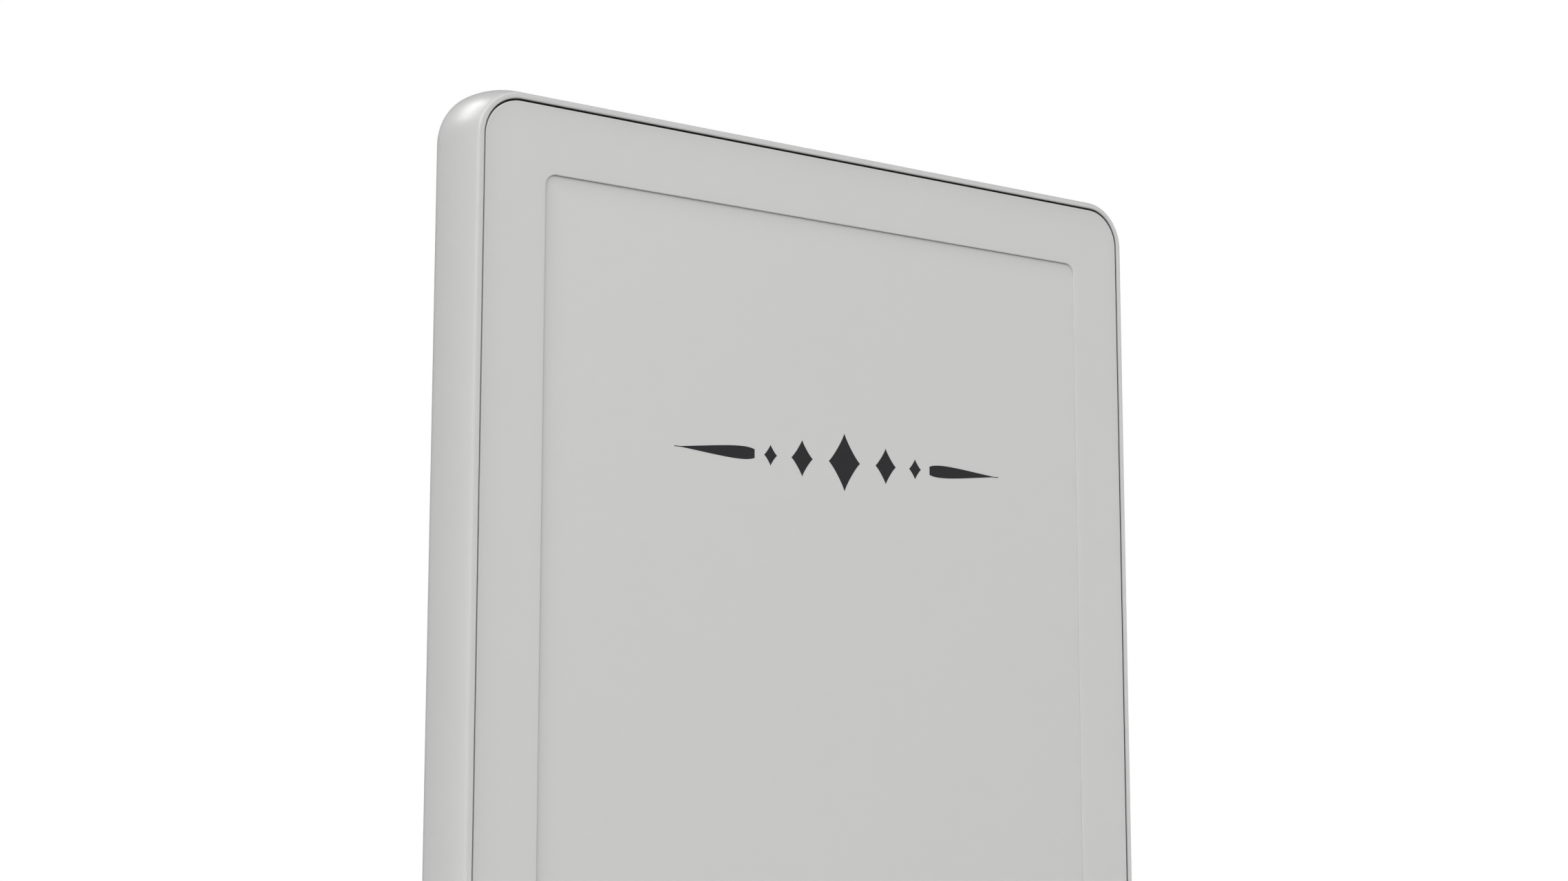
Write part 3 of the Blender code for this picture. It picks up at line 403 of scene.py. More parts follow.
@dataclass(frozen=True)
class PaintedSeamShade:
    """Painted shade on the inside of the narrow seam between the casing and the front panel.
    """

    half: Point
    corner: float
    front: float
    start: float
    end: float
    floor: float
    least: float
    step: float = 0.002 * MM
    fade: float = 0.1 * MM

    def factor(self, sketch: NodeSketch) -> Socket:
        """How much of its colour a surface keeps, which falls with depth inside the seam.

        Args:
            sketch: The node tree to draw on.

        Returns:
            The value socket, 1 outside the seam and below its floor.
        """
        inward = sketch.inset(self.half, self.corner)
        inside = sketch.spread(inward, 0.0, 1.0, -self.step, self.step)
        depth = sketch.calc("SUBTRACT", sketch.axis("Y"), self.front)
        deep = sketch.spread(depth, 0.0, 1.0 - self.least, self.start, self.end)
        above = sketch.spread(depth, 1.0, 0.0, self.floor, self.floor + self.fade)
        dark = sketch.product(sketch.product(inside, deep), above)
        return sketch.calc("SUBTRACT", 1.0, dark)


@dataclass(frozen=True)
class MouldedPlastic(Finish):
    """Plastic from a fine spark-textured or polished mould."""

    grain: float = 0.22 * MM
    relief: float = 0.0012 * MM
    cloud: float = 9 * MM
    mottle: float = 0.012
    rub: float = 7 * MM
    rub_depth: float = 0.03
    gloss: float = 0.45
    painted_shades: tuple[PaintedEdgeShade | PaintedSeamShade, ...] = ()

    def draw(self, sketch: NodeSketch) -> None:
        """Faint clouds in the colour and the gloss, the mould's fine grain, and any painted
        shade.

        Args:
            sketch: The node tree to draw on.
        """
        clouds = sketch.noise(self.cloud, 2.0)
        colour = self.tint(sketch, clouds, 1 - self.mottle, 1 + self.mottle)
        # Painted shade along edges and inside the seam, where the finish has any
        for painted_shade in self.painted_shades:
            colour = sketch.dimmed(colour, painted_shade.factor(sketch))
        sketch.colour(colour)
        self.roughen(sketch, sketch.noise(self.rub, 1.0), self.rub_depth, self.rub_depth)
        sketch.bump(sketch.noise(self.grain, 2.0), self.relief)
        sketch.set(Specular_IOR_Level=self.gloss)


@dataclass(frozen=True)
class PaperInk(Finish):
    """The display's white capsules, or its black ones."""

    capsule: float = 0.06 * MM
    relief: float = 0.0006 * MM
    cloud: float = 14 * MM
    gloss: float = 0.25
    painted_shades: tuple[PaintedEdgeShade, ...] = ()

    def draw(self, sketch: NodeSketch) -> None:
        """Speckle of single capsules, a faint unevenness, and any painted shade along the
        window's edges.

        Args:
            sketch: The node tree to draw on.
        """
        speckle = sketch.cells(self.capsule)
        uneven = sketch.spread(sketch.noise(self.cloud, 1.0), 0.7, 1.0)
        share = sketch.product(sketch.spread(speckle, 0.6, 1.0), uneven)
        colour = self.tint(sketch, share, 0.975, 1.02)
        # Painted shade along the window's edges, where the finish has any
        for painted_shade in self.painted_shades:
            colour = sketch.dimmed(colour, painted_shade.factor(sketch))
        sketch.colour(colour)
        self.roughen(sketch, speckle, 0.06, 0.04)
        sketch.bump(speckle, self.relief)
        sketch.set(Specular_IOR_Level=self.gloss)


@dataclass(frozen=True)
class SheetMetal(Finish):
    """Rolled, drawn or turned metal with the marks of its making along one axis."""

    drawn_along: tuple[float, float, float] = (1.0, 1.0, 0.06)
    mark: float = 0.12 * MM
    relief: float = 0.0015 * MM
    stain: float = 5 * MM

    def draw(self, sketch: NodeSketch) -> None:
        """Long fine scratches over slight staining.

        Args:
            sketch: The node tree to draw on.
        """
        marks = sketch.noise(self.mark, 4.0, 0.7, sketch.stretched(self.drawn_along))
        sketch.colour(self.tint(sketch, sketch.noise(self.stain, 3.0), 0.90, 1.05))
        self.roughen(sketch, marks, 0.08, 0.10)
        sketch.bump(marks, self.relief)
        sketch.set(Metallic=1.0)


@dataclass(frozen=True)
class CircuitBoard(Finish):
    """Solder mask over copper, with tracks that show as lighter lines."""

    track: float = 0.5 * MM
    relief: float = 0.02 * MM
    field_size: float = 4 * MM
    stain: float = 1.5 * MM

    def draw(self, sketch: NodeSketch) -> None:
        """Raised tracks in two directions, broken into separate fields.

        Args:
            sketch: The node tree to draw on.
        """
        along = sketch.spread(sketch.stripes(self.track, "X"), 0.0, 1.0, 0.55, 0.75)
        across = sketch.spread(sketch.stripes(self.track * 1.4, "Z"), 0.0, 1.0, 0.6, 0.8)
        fields = sketch.spread(sketch.noise(self.field_size, 0.0), 0.0, 1.0, 0.48, 0.54)
        tracks = sketch.product(sketch.product(along, across), fields)
        sketch.colour(self.tint(sketch, tracks, 1.0, 2.1))
        sketch.bump(tracks, self.relief)
        sketch.roughness(sketch.spread(sketch.noise(self.stain), 0.28, 0.42))


@dataclass(frozen=True)
class FlexFilm(Finish):
    """Amber film over fine parallel copper lines."""

    pitch: float = 0.5 * MM
    relief: float = 0.008 * MM
    runs_across: str = "X"
    stain: float = 1.2 * MM

    def draw(self, sketch: NodeSketch) -> None:
        """Copper lines that show through the film.

        Args:
            sketch: The node tree to draw on.
        """
        stripes = sketch.stripes(self.pitch, self.runs_across)
        lines = sketch.spread(stripes, 0.0, 1.0, 0.45, 0.65)
        sketch.colour(self.tint(sketch, lines, 0.72, 1.35))
        sketch.bump(lines, self.relief)
        sketch.roughness(sketch.spread(sketch.noise(self.stain), 0.22, 0.36))


@dataclass(frozen=True)
class CellPouch(Finish):
    """Soft laminated foil round a flat cell."""

    crease: float = 7 * MM
    relief: float = 0.12 * MM

    def draw(self, sketch: NodeSketch) -> None:
        """Long shallow creases with painted shade and light along their relief, and a satin
        metal sheen.

        Args:
            sketch: The node tree to draw on.
        """
        creases = sketch.noise(self.crease, 3.0, 0.5, sketch.stretched((1.0, 1.0, 0.35)))
        # The colour follows the relief: painted shade in the creases' hollows, painted light
        # on their ridges
        sketch.colour(self.tint(sketch, creases, 0.92, 1.06))
        sketch.bump(creases, self.relief)
        sketch.roughness(sketch.spread(creases, 0.34, 0.5))
        sketch.set(Metallic=0.85)


@dataclass(frozen=True)
class Foam(Finish):
    """Closed-cell foam or soft rubber."""

    cell: float = 0.25 * MM
    relief: float = 0.05 * MM

    def draw(self, sketch: NodeSketch) -> None:
        """Small open pits, with painted shade inside them.

        Args:
            sketch: The node tree to draw on.
        """
        pits = sketch.cells(self.cell)
        # Painted shade: the colour is darker in the pits' hollows
        sketch.colour(self.tint(sketch, pits, 0.6, 1.6))
        sketch.bump(pits, self.relief)


class Finishes(Enum):
    """Every finish on the reader."""

    CASING = MouldedPlastic(
        "moulded_casing",
        (0.561, 0.560, 0.556),
        0.315,
        relief=0.0005 * MM,
        gloss=0.5,
        painted_shades=(
            # Painted shade that deepens inside the seam round the front panel
            PaintedSeamShade(
                half=(PANEL_HALF[0] + 0.3 * MM, PANEL_HALF[1] + 0.3 * MM),
                corner=PANEL_CORNER + 0.3 * MM,
                front=FRONT_Y,
                start=0.07 * MM,
                end=0.2 * MM,
                floor=1.3 * MM,
                least=0.1,
            ),
        ),
    )
    PANEL = MouldedPlastic(
        "moulded_panel",
        (0.573, 0.572, 0.568),
        0.46,
        painted_shades=(
            # Painted shade along the panel's left and top edges
            PaintedEdgeShade.left_and_top(PANEL_HALF, (0.0, 0.0), PANEL_CORNER, 0.7 * MM, 0.88),
        ),
    )
    KEYS = MouldedPlastic("moulded_keys", (0.584, 0.583, 0.578), 0.36, grain=0.4 * MM)
    PAPER = PaperInk(
        "display_white",
        (0.574, 0.573, 0.569),
        0.62,
        painted_shades=(
            # Painted shade along the window's left and top edges
            PaintedEdgeShade.left_and_top(WINDOW_HALF, WINDOW_MIDDLE, WINDOW_CORNER, 0.6 * MM, 0.84),
            # Painted shadow line along the window's top edge alone: the sides of this outline
            # lie far outside it.
            PaintedEdgeShade((40.0 * MM, 47.2 * MM), 0.1 * MM, 0.07 * MM, 0.35, (0.0, 3.0 * MM)),
        ),
    )
    INK = PaperInk("display_black", (0.017, 0.017, 0.019), 0.55)
    STEEL = SheetMetal("rolled_steel", (0.52, 0.52, 0.53), 0.34)
    NICKEL = SheetMetal("drawn_nickel", (0.66, 0.64, 0.61), 0.34, relief=0.0002 * MM)
    GOLD = SheetMetal("contact_gold", (0.83, 0.60, 0.27), 0.22)
    MAGNET = SheetMetal("plated_magnet", (0.60, 0.60, 0.58), 0.30, drawn_along=(1.0, 1.0, 1.0))
    BOARD = CircuitBoard("board_mask", (0.020, 0.110, 0.050), 0.35)
    FLEX_DOWN = FlexFilm("flex_amber", (0.42, 0.20, 0.045), 0.3)
    FLEX_SIDE = FlexFilm(
        "side_flex_amber", (0.42, 0.20, 0.045), 0.3, pitch=0.3 * MM, runs_across="Y"
    )
    POUCH = CellPouch("cell_foil", (0.50, 0.51, 0.53), 0.4)
    PAD = Foam("pad_foam", (0.035, 0.035, 0.037), 0.95)
    TAPE = Foam("bond_tape", (0.022, 0.022, 0.022), 0.7, cell=0.6 * MM)
    BLACK = MouldedPlastic("black_resin", (0.022, 0.022, 0.024), 0.44, mottle=0.2)
    IVORY = MouldedPlastic("ivory_resin", (0.70, 0.65, 0.52), 0.46)
    CERAMIC = MouldedPlastic("fired_ceramic", (0.66, 0.69, 0.72), 0.3)
    RED = MouldedPlastic("red_insulation", (0.45, 0.02, 0.015), 0.4, mottle=0.08)

    def material(self) -> bpy.types.Material:
        """The material of this finish."""
        return self.value.make()


# ------------------------------------------------------------------ mesh tools


@dataclass(frozen=True)
class Outline:
    """A rounded rectangle in its own plane."""

    width: float
    height: float
    corner: float
    centre: Point = (0.0, 0.0)
    steps: int = 24

    def grown(self, reach: float) -> Outline:
        """The same outline pushed outwards, or inwards if reach is negative.

        Args:
            reach: Distance that every side moves.

        Returns:
            The new outline, whose corners keep their centres.
        """
        corner = max(self.corner + reach, 1e-6)
        width = self.width + 2 * reach
        height = self.height + 2 * reach
        return Outline(width, height, corner, self.centre, self.steps)

    def points(self) -> list[Point]:
        """The outline's points, counter-clockwise.

        Returns:
            Points in the outline's plane.
        """
        found = []
        for quarter in range(4):
            side_x = 1 if quarter in (0, 3) else -1
            side_y = 1 if quarter < 2 else -1
            corner_x = self.centre[0] + side_x * (self.width / 2 - self.corner)
            corner_y = self.centre[1] + side_y * (self.height / 2 - self.corner)
            for step in range(self.steps + 1):
                turn = math.pi / 2 * (quarter + step / self.steps)
                x = corner_x + self.corner * math.cos(turn)
                found.append((x, corner_y + self.corner * math.sin(turn)))
        return found


def facing(outward: Vector, along: Vector, at: Vector) -> Matrix:
    """Matrix that takes local Z to outward and local X to along.

    Args:
        outward: Direction of local Z.
        along: Direction of local X.
        at: Place of the local zero.

    Returns:
        The matrix.
    """
    turn = Matrix((along, outward.cross(along), outward)).transposed().to_4x4()
    return Matrix.Translation(at) @ turn


def fillet(radius: float, steps: int) -> list[Point]:
    """A quarter round as (inset, drop) pairs, from the face it starts on to the side.

    Args:
        radius: The round's radius.
        steps: Number of flats along it.

    Returns:
        How far in from the side and how far below the face each point lies.
    """
    turns = [math.pi / 2 * step / steps for step in range(steps + 1)]
    return [(radius * (1 - math.sin(turn)), radius * (1 - math.cos(turn))) for turn in turns]


def outward(mesh: Mesh) -> Mesh:
    """Turns a closed mesh's faces to point out, if they all point in.

    Args:
        mesh: A mesh whose faces agree with each other.

    Returns:
        The same mesh.
    """
    if mesh.calc_volume(signed=True) < 0:
        bmesh.ops.reverse_faces(mesh, faces=mesh.faces)
    return mesh


def placed(mesh: Mesh, where: Matrix) -> Mesh:
    """Moves a closed mesh, and keeps its faces pointing out even if the matrix mirrors.

    Args:
        mesh: The mesh, in its own space.
        where: Matrix from there to the frame.

    Returns:
        The same mesh.
    """
    mesh.transform(where)
    return outward(mesh)


def lofted(levels: Iterable[tuple[Outline, float]], endless: bool = False) -> Mesh:
    """A solid skinned through outlines at their local heights.

    Args:
        levels: Outlines with equally many points, each with its height.
        endless: Joins the last outline to the first, for a frame or a tube, with no caps.

    Returns:
        The new mesh, its faces pointing out.
    """
    mesh = bmesh.new()
    rows = [[mesh.verts.new((x, y, z)) for x, y in outline.points()] for outline, z in levels]
    pairs = list(zip(rows, rows[1:]))
    if endless:
        pairs.append((rows[-1], rows[0]))
    else:
        mesh.faces.new(rows[0])
        mesh.faces.new(rows[-1])
    count = len(rows[0])
    for lower, upper in pairs:
        for i in range(count):
            j = (i + 1) % count
            mesh.faces.new((lower[i], lower[j], upper[j], upper[i]))
    bmesh.ops.recalc_face_normals(mesh, faces=mesh.faces)
    return outward(mesh)


def prism(ends: Sequence[Sequence[Sequence[float]]]) -> Mesh:
    """A closed solid between two rings of points.

    Args:
        ends: The two rings, with their points in the same order.

    Returns:
        The new mesh, its faces pointing out and always in the same order.
    """
    mesh = bmesh.new()
    lower, upper = ([mesh.verts.new(point) for point in ring] for ring in ends)
    mesh.faces.new(lower[::-1])
    mesh.faces.new(upper)
    for i in range(len(lower)):
        j = (i + 1) % len(lower)
        mesh.faces.new((lower[i], lower[j], upper[j], upper[i]))
    return outward(mesh)


def merged(meshes: Sequence[Mesh]) -> Mesh:
    """Several separate meshes in one.

    Args:
        meshes: The meshes, which are used up.

    Returns:
        One mesh that holds them all.
    """
    whole = bmesh.new()
    for mesh in meshes:
        part = bpy.data.meshes.new("part")
        mesh.to_mesh(part)
        mesh.free()
        whole.from_mesh(part)
        bpy.data.meshes.remove(part)
    return whole


@dataclass
class Piece:
    """One visible piece, from its mesh to its place on a body."""

    name: str
    finish: Finishes
    slot: str
    body: str = "body"
    stands_for: tuple[str, ...] = ()
    sharp_degrees: float = 32.0

    def build(self, mesh: Mesh, where: Matrix | None = None) -> bpy.types.Object:
        """Makes the object.

        Args:
            mesh: Its shape, which is used up.
            where: Matrix from the mesh's own space to the frame.

        Returns:
            The object, in the frame but not riding yet.
        """
        if where is not None:
            mesh.transform(where)
        data = bpy.data.meshes.new(self.name)
        mesh.to_mesh(data)
        mesh.free()
        data.materials.append(self.finish.material())
        obj = bpy.data.objects.new(self.name, data)
        bpy.context.scene.collection.objects.link(obj)
        return obj

    def settle(self, obj: bpy.types.Object) -> None:
        """Smooths a finished object and puts it on its body.

        Args:
            obj: The object to settle.
        """
        data = obj.data
        data.shade_smooth()
        data.set_sharp_from_angle(angle=math.radians(self.sharp_degrees))
        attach(obj, self.body)
        if self.stands_for:
            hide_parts(*self.stands_for)
        log.info("%s: %d faces on %s", self.name, len(data.polygons), self.body)

    def make(self, mesh: Mesh, where: Matrix | None = None) -> None:
        """Makes the object and settles it."""
        self.settle(self.build(mesh, where))


def apply_modifiers(obj: bpy.types.Object) -> None:
    """Turns an object's modifiers into its mesh.

    Args:
        obj: The object, whose old mesh is removed.
    """
    graph = bpy.context.evaluated_depsgraph_get()
    data = bpy.data.meshes.new_from_object(obj.evaluated_get(graph))
    old = obj.data
    obj.modifiers.clear()
    obj.data = data
    bpy.data.meshes.remove(old)


def carve(obj: bpy.types.Object, cutters: Sequence[Mesh]) -> None:
    """Cuts shapes out of an object for good.

    Args:
        obj: The object to cut.
        cutters: Closed shapes in the frame, which are used up.
    """
    helpers = []
    for number, cutter in enumerate(cutters):
        data = bpy.data.meshes.new(f"{obj.name}_cutter_{number}")
        cutter.to_mesh(data)
        cutter.free()
        helper = bpy.data.objects.new(data.name, data)
        bpy.context.scene.collection.objects.link(helper)
        helpers.append(helper)
        modifier = obj.modifiers.new(f"cut_{number}", "BOOLEAN")
        modifier.operation = "DIFFERENCE"
        modifier.solver = "EXACT"
        modifier.object = helper
    apply_modifiers(obj)
    for helper in helpers:
        data = helper.data
        bpy.data.objects.remove(helper)
        bpy.data.meshes.remove(data)


def round_rims(obj: bpy.types.Object, boxes: Sequence[Space], radius: float) -> None:
    """Rounds the sharp rims of openings, and leaves every other edge as it is.

    Args:
        obj: The object with the openings.
        boxes: Low and high corners of the spaces that the rims lie in.
        radius: Radius of the rounding.
    """
    weld, flat, sharp = 0.002 * MM, math.radians(0.2), math.radians(50)
    mesh = bmesh.new()
    mesh.from_mesh(obj.data)
    bmesh.ops.remove_doubles(mesh, verts=mesh.verts, dist=weld)
    bmesh.ops.dissolve_limit(
        mesh,
        angle_limit=flat,
        verts=[v for v in mesh.verts if within(v.co, boxes)],
        edges=[e for e in mesh.edges if all(within(v.co, boxes) for v in e.verts)],
    )
    rims = [
        edge
        for edge in mesh.edges
        if len(edge.link_faces) == 2
        and edge.calc_face_angle(0.0) > sharp
        and all(within(corner.co, boxes) for corner in edge.verts)
    ]
    bmesh.ops.bevel(
        mesh,
        geom=rims,
        offset=radius,
        offset_type="OFFSET",
        segments=3,
        profile=0.5,
        affect="EDGES",
        clamp_overlap=True,
    )
    mesh.to_mesh(obj.data)
    mesh.free()


def within(point: Vector, boxes: Sequence[Space]) -> bool:
    """True if a point lies in one of the boxes."""
    return any(all(low[i] <= point[i] <= high[i] for i in range(3)) for low, high in boxes)


def middle_of(node: str) -> Vector:
    """The middle of a frame piece's box."""
    low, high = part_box(node)
    return (low + high) / 2


def sides_of(node: str) -> tuple[float, ...]:
    """The three sides of a frame piece's box."""
    low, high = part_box(node)
    return tuple(top - bottom for bottom, top in zip(low, high))


# ------------------------------------------------------------------ casing


@dataclass
class Body:
    """The sizes that the whole reader shares, read from the frame."""

    low: Vector = field(init=False)
    high: Vector = field(init=False)
    panel_low: Vector = field(init=False)
    panel_high: Vector = field(init=False)
    window_margin: float = 5.3 * MM

    def __post_init__(self) -> None:
        """Reads the casing's and the panel's boxes."""
        self.low, self.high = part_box("rear_shell")
        self.panel_low, self.panel_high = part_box("front_bezel")

    @property
    def front(self) -> float:
        """Y of the front face."""
        return self.panel_low.y

    @property
    def depth(self) -> float:
        """Thickness from the front face to the back."""
        return self.high.y - self.front

    @property
    def reach(self) -> float:
        """How far the casing's edge stands outside the front panel."""
        return (self.high.x - self.low.x) / 2 - self.panel_high.x

    def panel(self) -> Outline:
        """The front panel's outline.

        Returns:
            The outline, round the frame's zero.
        """
        width = self.panel_high.x - self.panel_low.x
        height = self.panel_high.z - self.panel_low.z
        return Outline(width, height, PANEL_CORNER)

    def window(self) -> Outline:
        """The window's outline in the front panel.

        Returns:
            The outline, one margin below the panel's top.
        """
        width, height = 2 * WINDOW_HALF[0], 2 * WINDOW_HALF[1]
        middle = self.panel_high.z - self.window_margin - WINDOW_HALF[1]
        return Outline(width, height, WINDOW_CORNER, (0.0, middle))

    def plan(self) -> Matrix:
        """Matrix to the frame from an outline's plane and depths behind the front."""
        return Matrix.Translation((0.0, self.front, 0.0)) @ SWAP_YZ


@dataclass
class Casing:
    """The white tray that forms the sides and the back."""

    body: Body
    lip: float = 0.46 * MM
    lip_round: float = 0.25 * MM
    gap: float = 0.125 * MM
    shift: float = 0.055 * MM
    lean: float = math.radians(21.5)
    widest: float = 4.4 * MM
    back_round: float = 1.43 * MM
    ledge: float = 1.0 * MM
    wall: float = 0.75 * MM
    inner_round: float = 0.16 * MM
    rim_round: float = 0.12 * MM
    cavity: Outline = Outline(63.2 * MM, 108.2 * MM, 2.0 * MM)
    cut_depth: float = 2.9 * MM
    port_gap: float = 0.17 * MM
    card_gap: float = 0.2 * MM
    # Round but for a ten-thousandth of a millimetre, so that its sides keep a length
    pinhole: Outline = Outline(1.2 * MM, 1.2 * MM, 0.5999 * MM, steps=8)
    lip_steps: int = 8
    side_steps: int = 20
    back_steps: int = 16

    def section(self) -> list[Point]:
        """The outer edge in section.

        Returns:
            (reach outside the panel, depth) from the lip to the flat back.
        """
        points = []
        for step in range(self.lip_steps + 1):
            turn = math.pi / 2 + (self.lean - math.pi / 2) * step / self.lip_steps
            reach = self.lip + self.lip_round * math.cos(turn)
            points.append((reach, self.lip_round * (1 - math.sin(turn))))
        start_reach, start_depth = points[-1]
        across = self.body.reach - start_reach
        down = self.widest - start_depth
        bulge = (across**2 + down**2) / (2 * across)
        for step in range(1, self.side_steps + 1):
            depth = start_depth + down * step / self.side_steps
            sag = bulge - math.sqrt(bulge**2 - (self.widest - depth) ** 2)
            points.append((self.body.reach - sag, depth))
        for step in range(1, self.back_steps + 1):
            turn = math.pi / 2 * step / self.back_steps
            reach = self.body.reach - self.back_round * (1 - math.cos(turn))
            points.append((reach, self.body.depth - self.back_round * (1 - math.sin(turn))))
        return points

    def shape(self) -> Mesh:
        """The tray before its openings are cut.

        Returns:
            The mesh, as outlines at their depths.
        """
        panel = self.body.panel()
        seam = replace(panel, centre=(self.shift, self.shift))
        floor = self.body.depth - self.wall
        levels = [
            (self.cavity.grown(-MM), floor),
            (self.cavity, floor),
            (self.cavity, self.ledge),
            (seam.grown(self.gap), self.ledge),
        ]
        levels += [
            (seam.grown(self.gap + inset), drop)
            for inset, drop in reversed(fillet(self.inner_round, 6))
        ]
        section = self.section()
        levels += [(panel.grown(reach), depth) for reach, depth in section]
        levels.append((panel.grown(section[-1][0] - MM), self.body.depth))
        return placed(lofted(levels), self.body.plan())

    def openings(self) -> list[Mesh]:
        """Cutters for the key slots, the charging socket, the card and the reset pin.

        Returns:
            The cutters, in the frame.
        """
        cutters = []
        for key in ("page_key", "power_key"):
            length = sides_of(key)[2] - 2 * KeyShape.skirt
            slot = KeyShape.outline(length, SideKeys.width, *SideKeys.gaps)
            side = self.body.high.x - self.cut_depth
            at = Vector((side, middle_of("page_key").y, middle_of(key).z))
            cutters.append(self.cutter(slot, facing(RIGHT, UP, at)))
        width, thickness, _ = sides_of("usb_shell")
        port = Outline(width, thickness, ChargingPort.corner).grown(self.port_gap)
        width, thickness, _ = sides_of("memory_card")
        card = Outline(width, thickness, 0.1 * MM, steps=4).grown(self.card_gap)
        lower = (("usb_shell", port), ("memory_card", card), ("reset_button", self.pinhole))
        for node, outline in lower:
            middle = middle_of(node)
            at = Vector((middle.x, middle.y, self.body.low.z + self.cut_depth))
            cutters.append(self.cutter(outline, facing(DOWN, RIGHT, at)))
        return cutters

    @staticmethod
    def cutter(outline: Outline, where: Matrix) -> Mesh:
        """A straight cutter, through the wall that it stands in, with local Z out of it."""
        return placed(lofted([(outline, -MM), (outline, 5 * MM)]), where)

    def build(self) -> None:
        """Makes the casing and settles it on the body."""
        piece = Piece(
            "rear_casing", Finishes.CASING, "shell_white", stands_for=("rear_shell",)
        )
        obj = piece.build(self.shape())
        carve(obj, self.openings())
        page_low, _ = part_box("page_key")
        _, power_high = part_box("power_key")
        side, lower = self.body.high.x, self.body.low.z
        front, back = self.body.front, self.body.high.y
        # The outer skin round the side keys' slots, then round the lower edge's openings
        spaces = [
            (
                Vector((side - 0.75 * MM, front + MM, page_low.z - MM)),
                Vector((side + MM, back - MM, power_high.z + MM)),
            ),
            (
                Vector((-25 * MM, front + 0.5 * MM, lower - MM)),
                Vector((25 * MM, back - 0.2 * MM, lower + 0.75 * MM)),
            ),
        ]
        round_rims(obj, spaces, self.rim_round)
        piece.settle(obj)


@dataclass
class FrontPanel:
    """The flat white frame round the screen, with openings for the two rockers."""

    body: Body
    thickness: float = 0.9 * MM
    edge: float = 0.1 * MM
    window_edge: float = 0.07 * MM
    pocket_border: float = 0.7 * MM
    key_gap: float = 0.2 * MM

    def build(self) -> None:
        """Makes the panel and settles it on the body."""
        piece = Piece(
            "front_panel", Finishes.PANEL, "shell_white", stands_for=("front_bezel",)
        )
        obj = piece.build(self.shape())
        cutters = []
        spaces = []
        for key in ("front_key_left", "front_key_right"):
            length, _, width = sides_of(key)
            skirt = 2 * KeyShape.skirt
            hole = KeyShape.outline(length - skirt, width - skirt, self.key_gap, self.key_gap)
            middle = middle_of(key)
            at = Vector((middle.x, self.body.front + MM, middle.z))
            cutter = lofted([(hole, -MM), (hole, 3 * MM)])
            cutters.append(placed(cutter, facing(FRONT, RIGHT, at)))
            low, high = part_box(key)
            skin = 0.01 * MM
            spaces.append(
                (
                    Vector((low.x - MM, self.body.front - skin, low.z - MM)),
                    Vector((high.x + MM, self.body.front + skin, high.z + MM)),
                )
            )
        carve(obj, cutters)
        round_rims(obj, spaces, self.edge)
        piece.settle(obj)

    def shape(self) -> Mesh:
        """The frame before the rockers' holes are cut.

        Returns:
            The mesh, as outlines at their depths.
        """
        panel = self.body.panel()
        window = self.body.window()
        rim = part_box("screen_film")[1].y - self.body.front
        width, _, height = sides_of("epaper_panel")
        border = 2 * self.pocket_border
        middle = (0.0, middle_of("epaper_panel").z)
        pocket = Outline(width + border, height + border, MM, middle)
        levels = [(panel.grown(-MM), 0.0)]
        levels += [(panel.grown(-inset), drop) for inset, drop in fillet(self.edge, 5)]
        levels += [(panel, self.thickness), (pocket, self.thickness), (pocket, rim)]
        levels.append((window, rim))
        levels += [
            (window.grown(inset), drop)
            for inset, drop in reversed(fillet(self.window_edge, 4))
        ]
        levels.append((window.grown(0.8 * MM), 0.0))
        return placed(lofted(levels, endless=True), self.body.plan())


# ------------------------------------------------------------------ screen


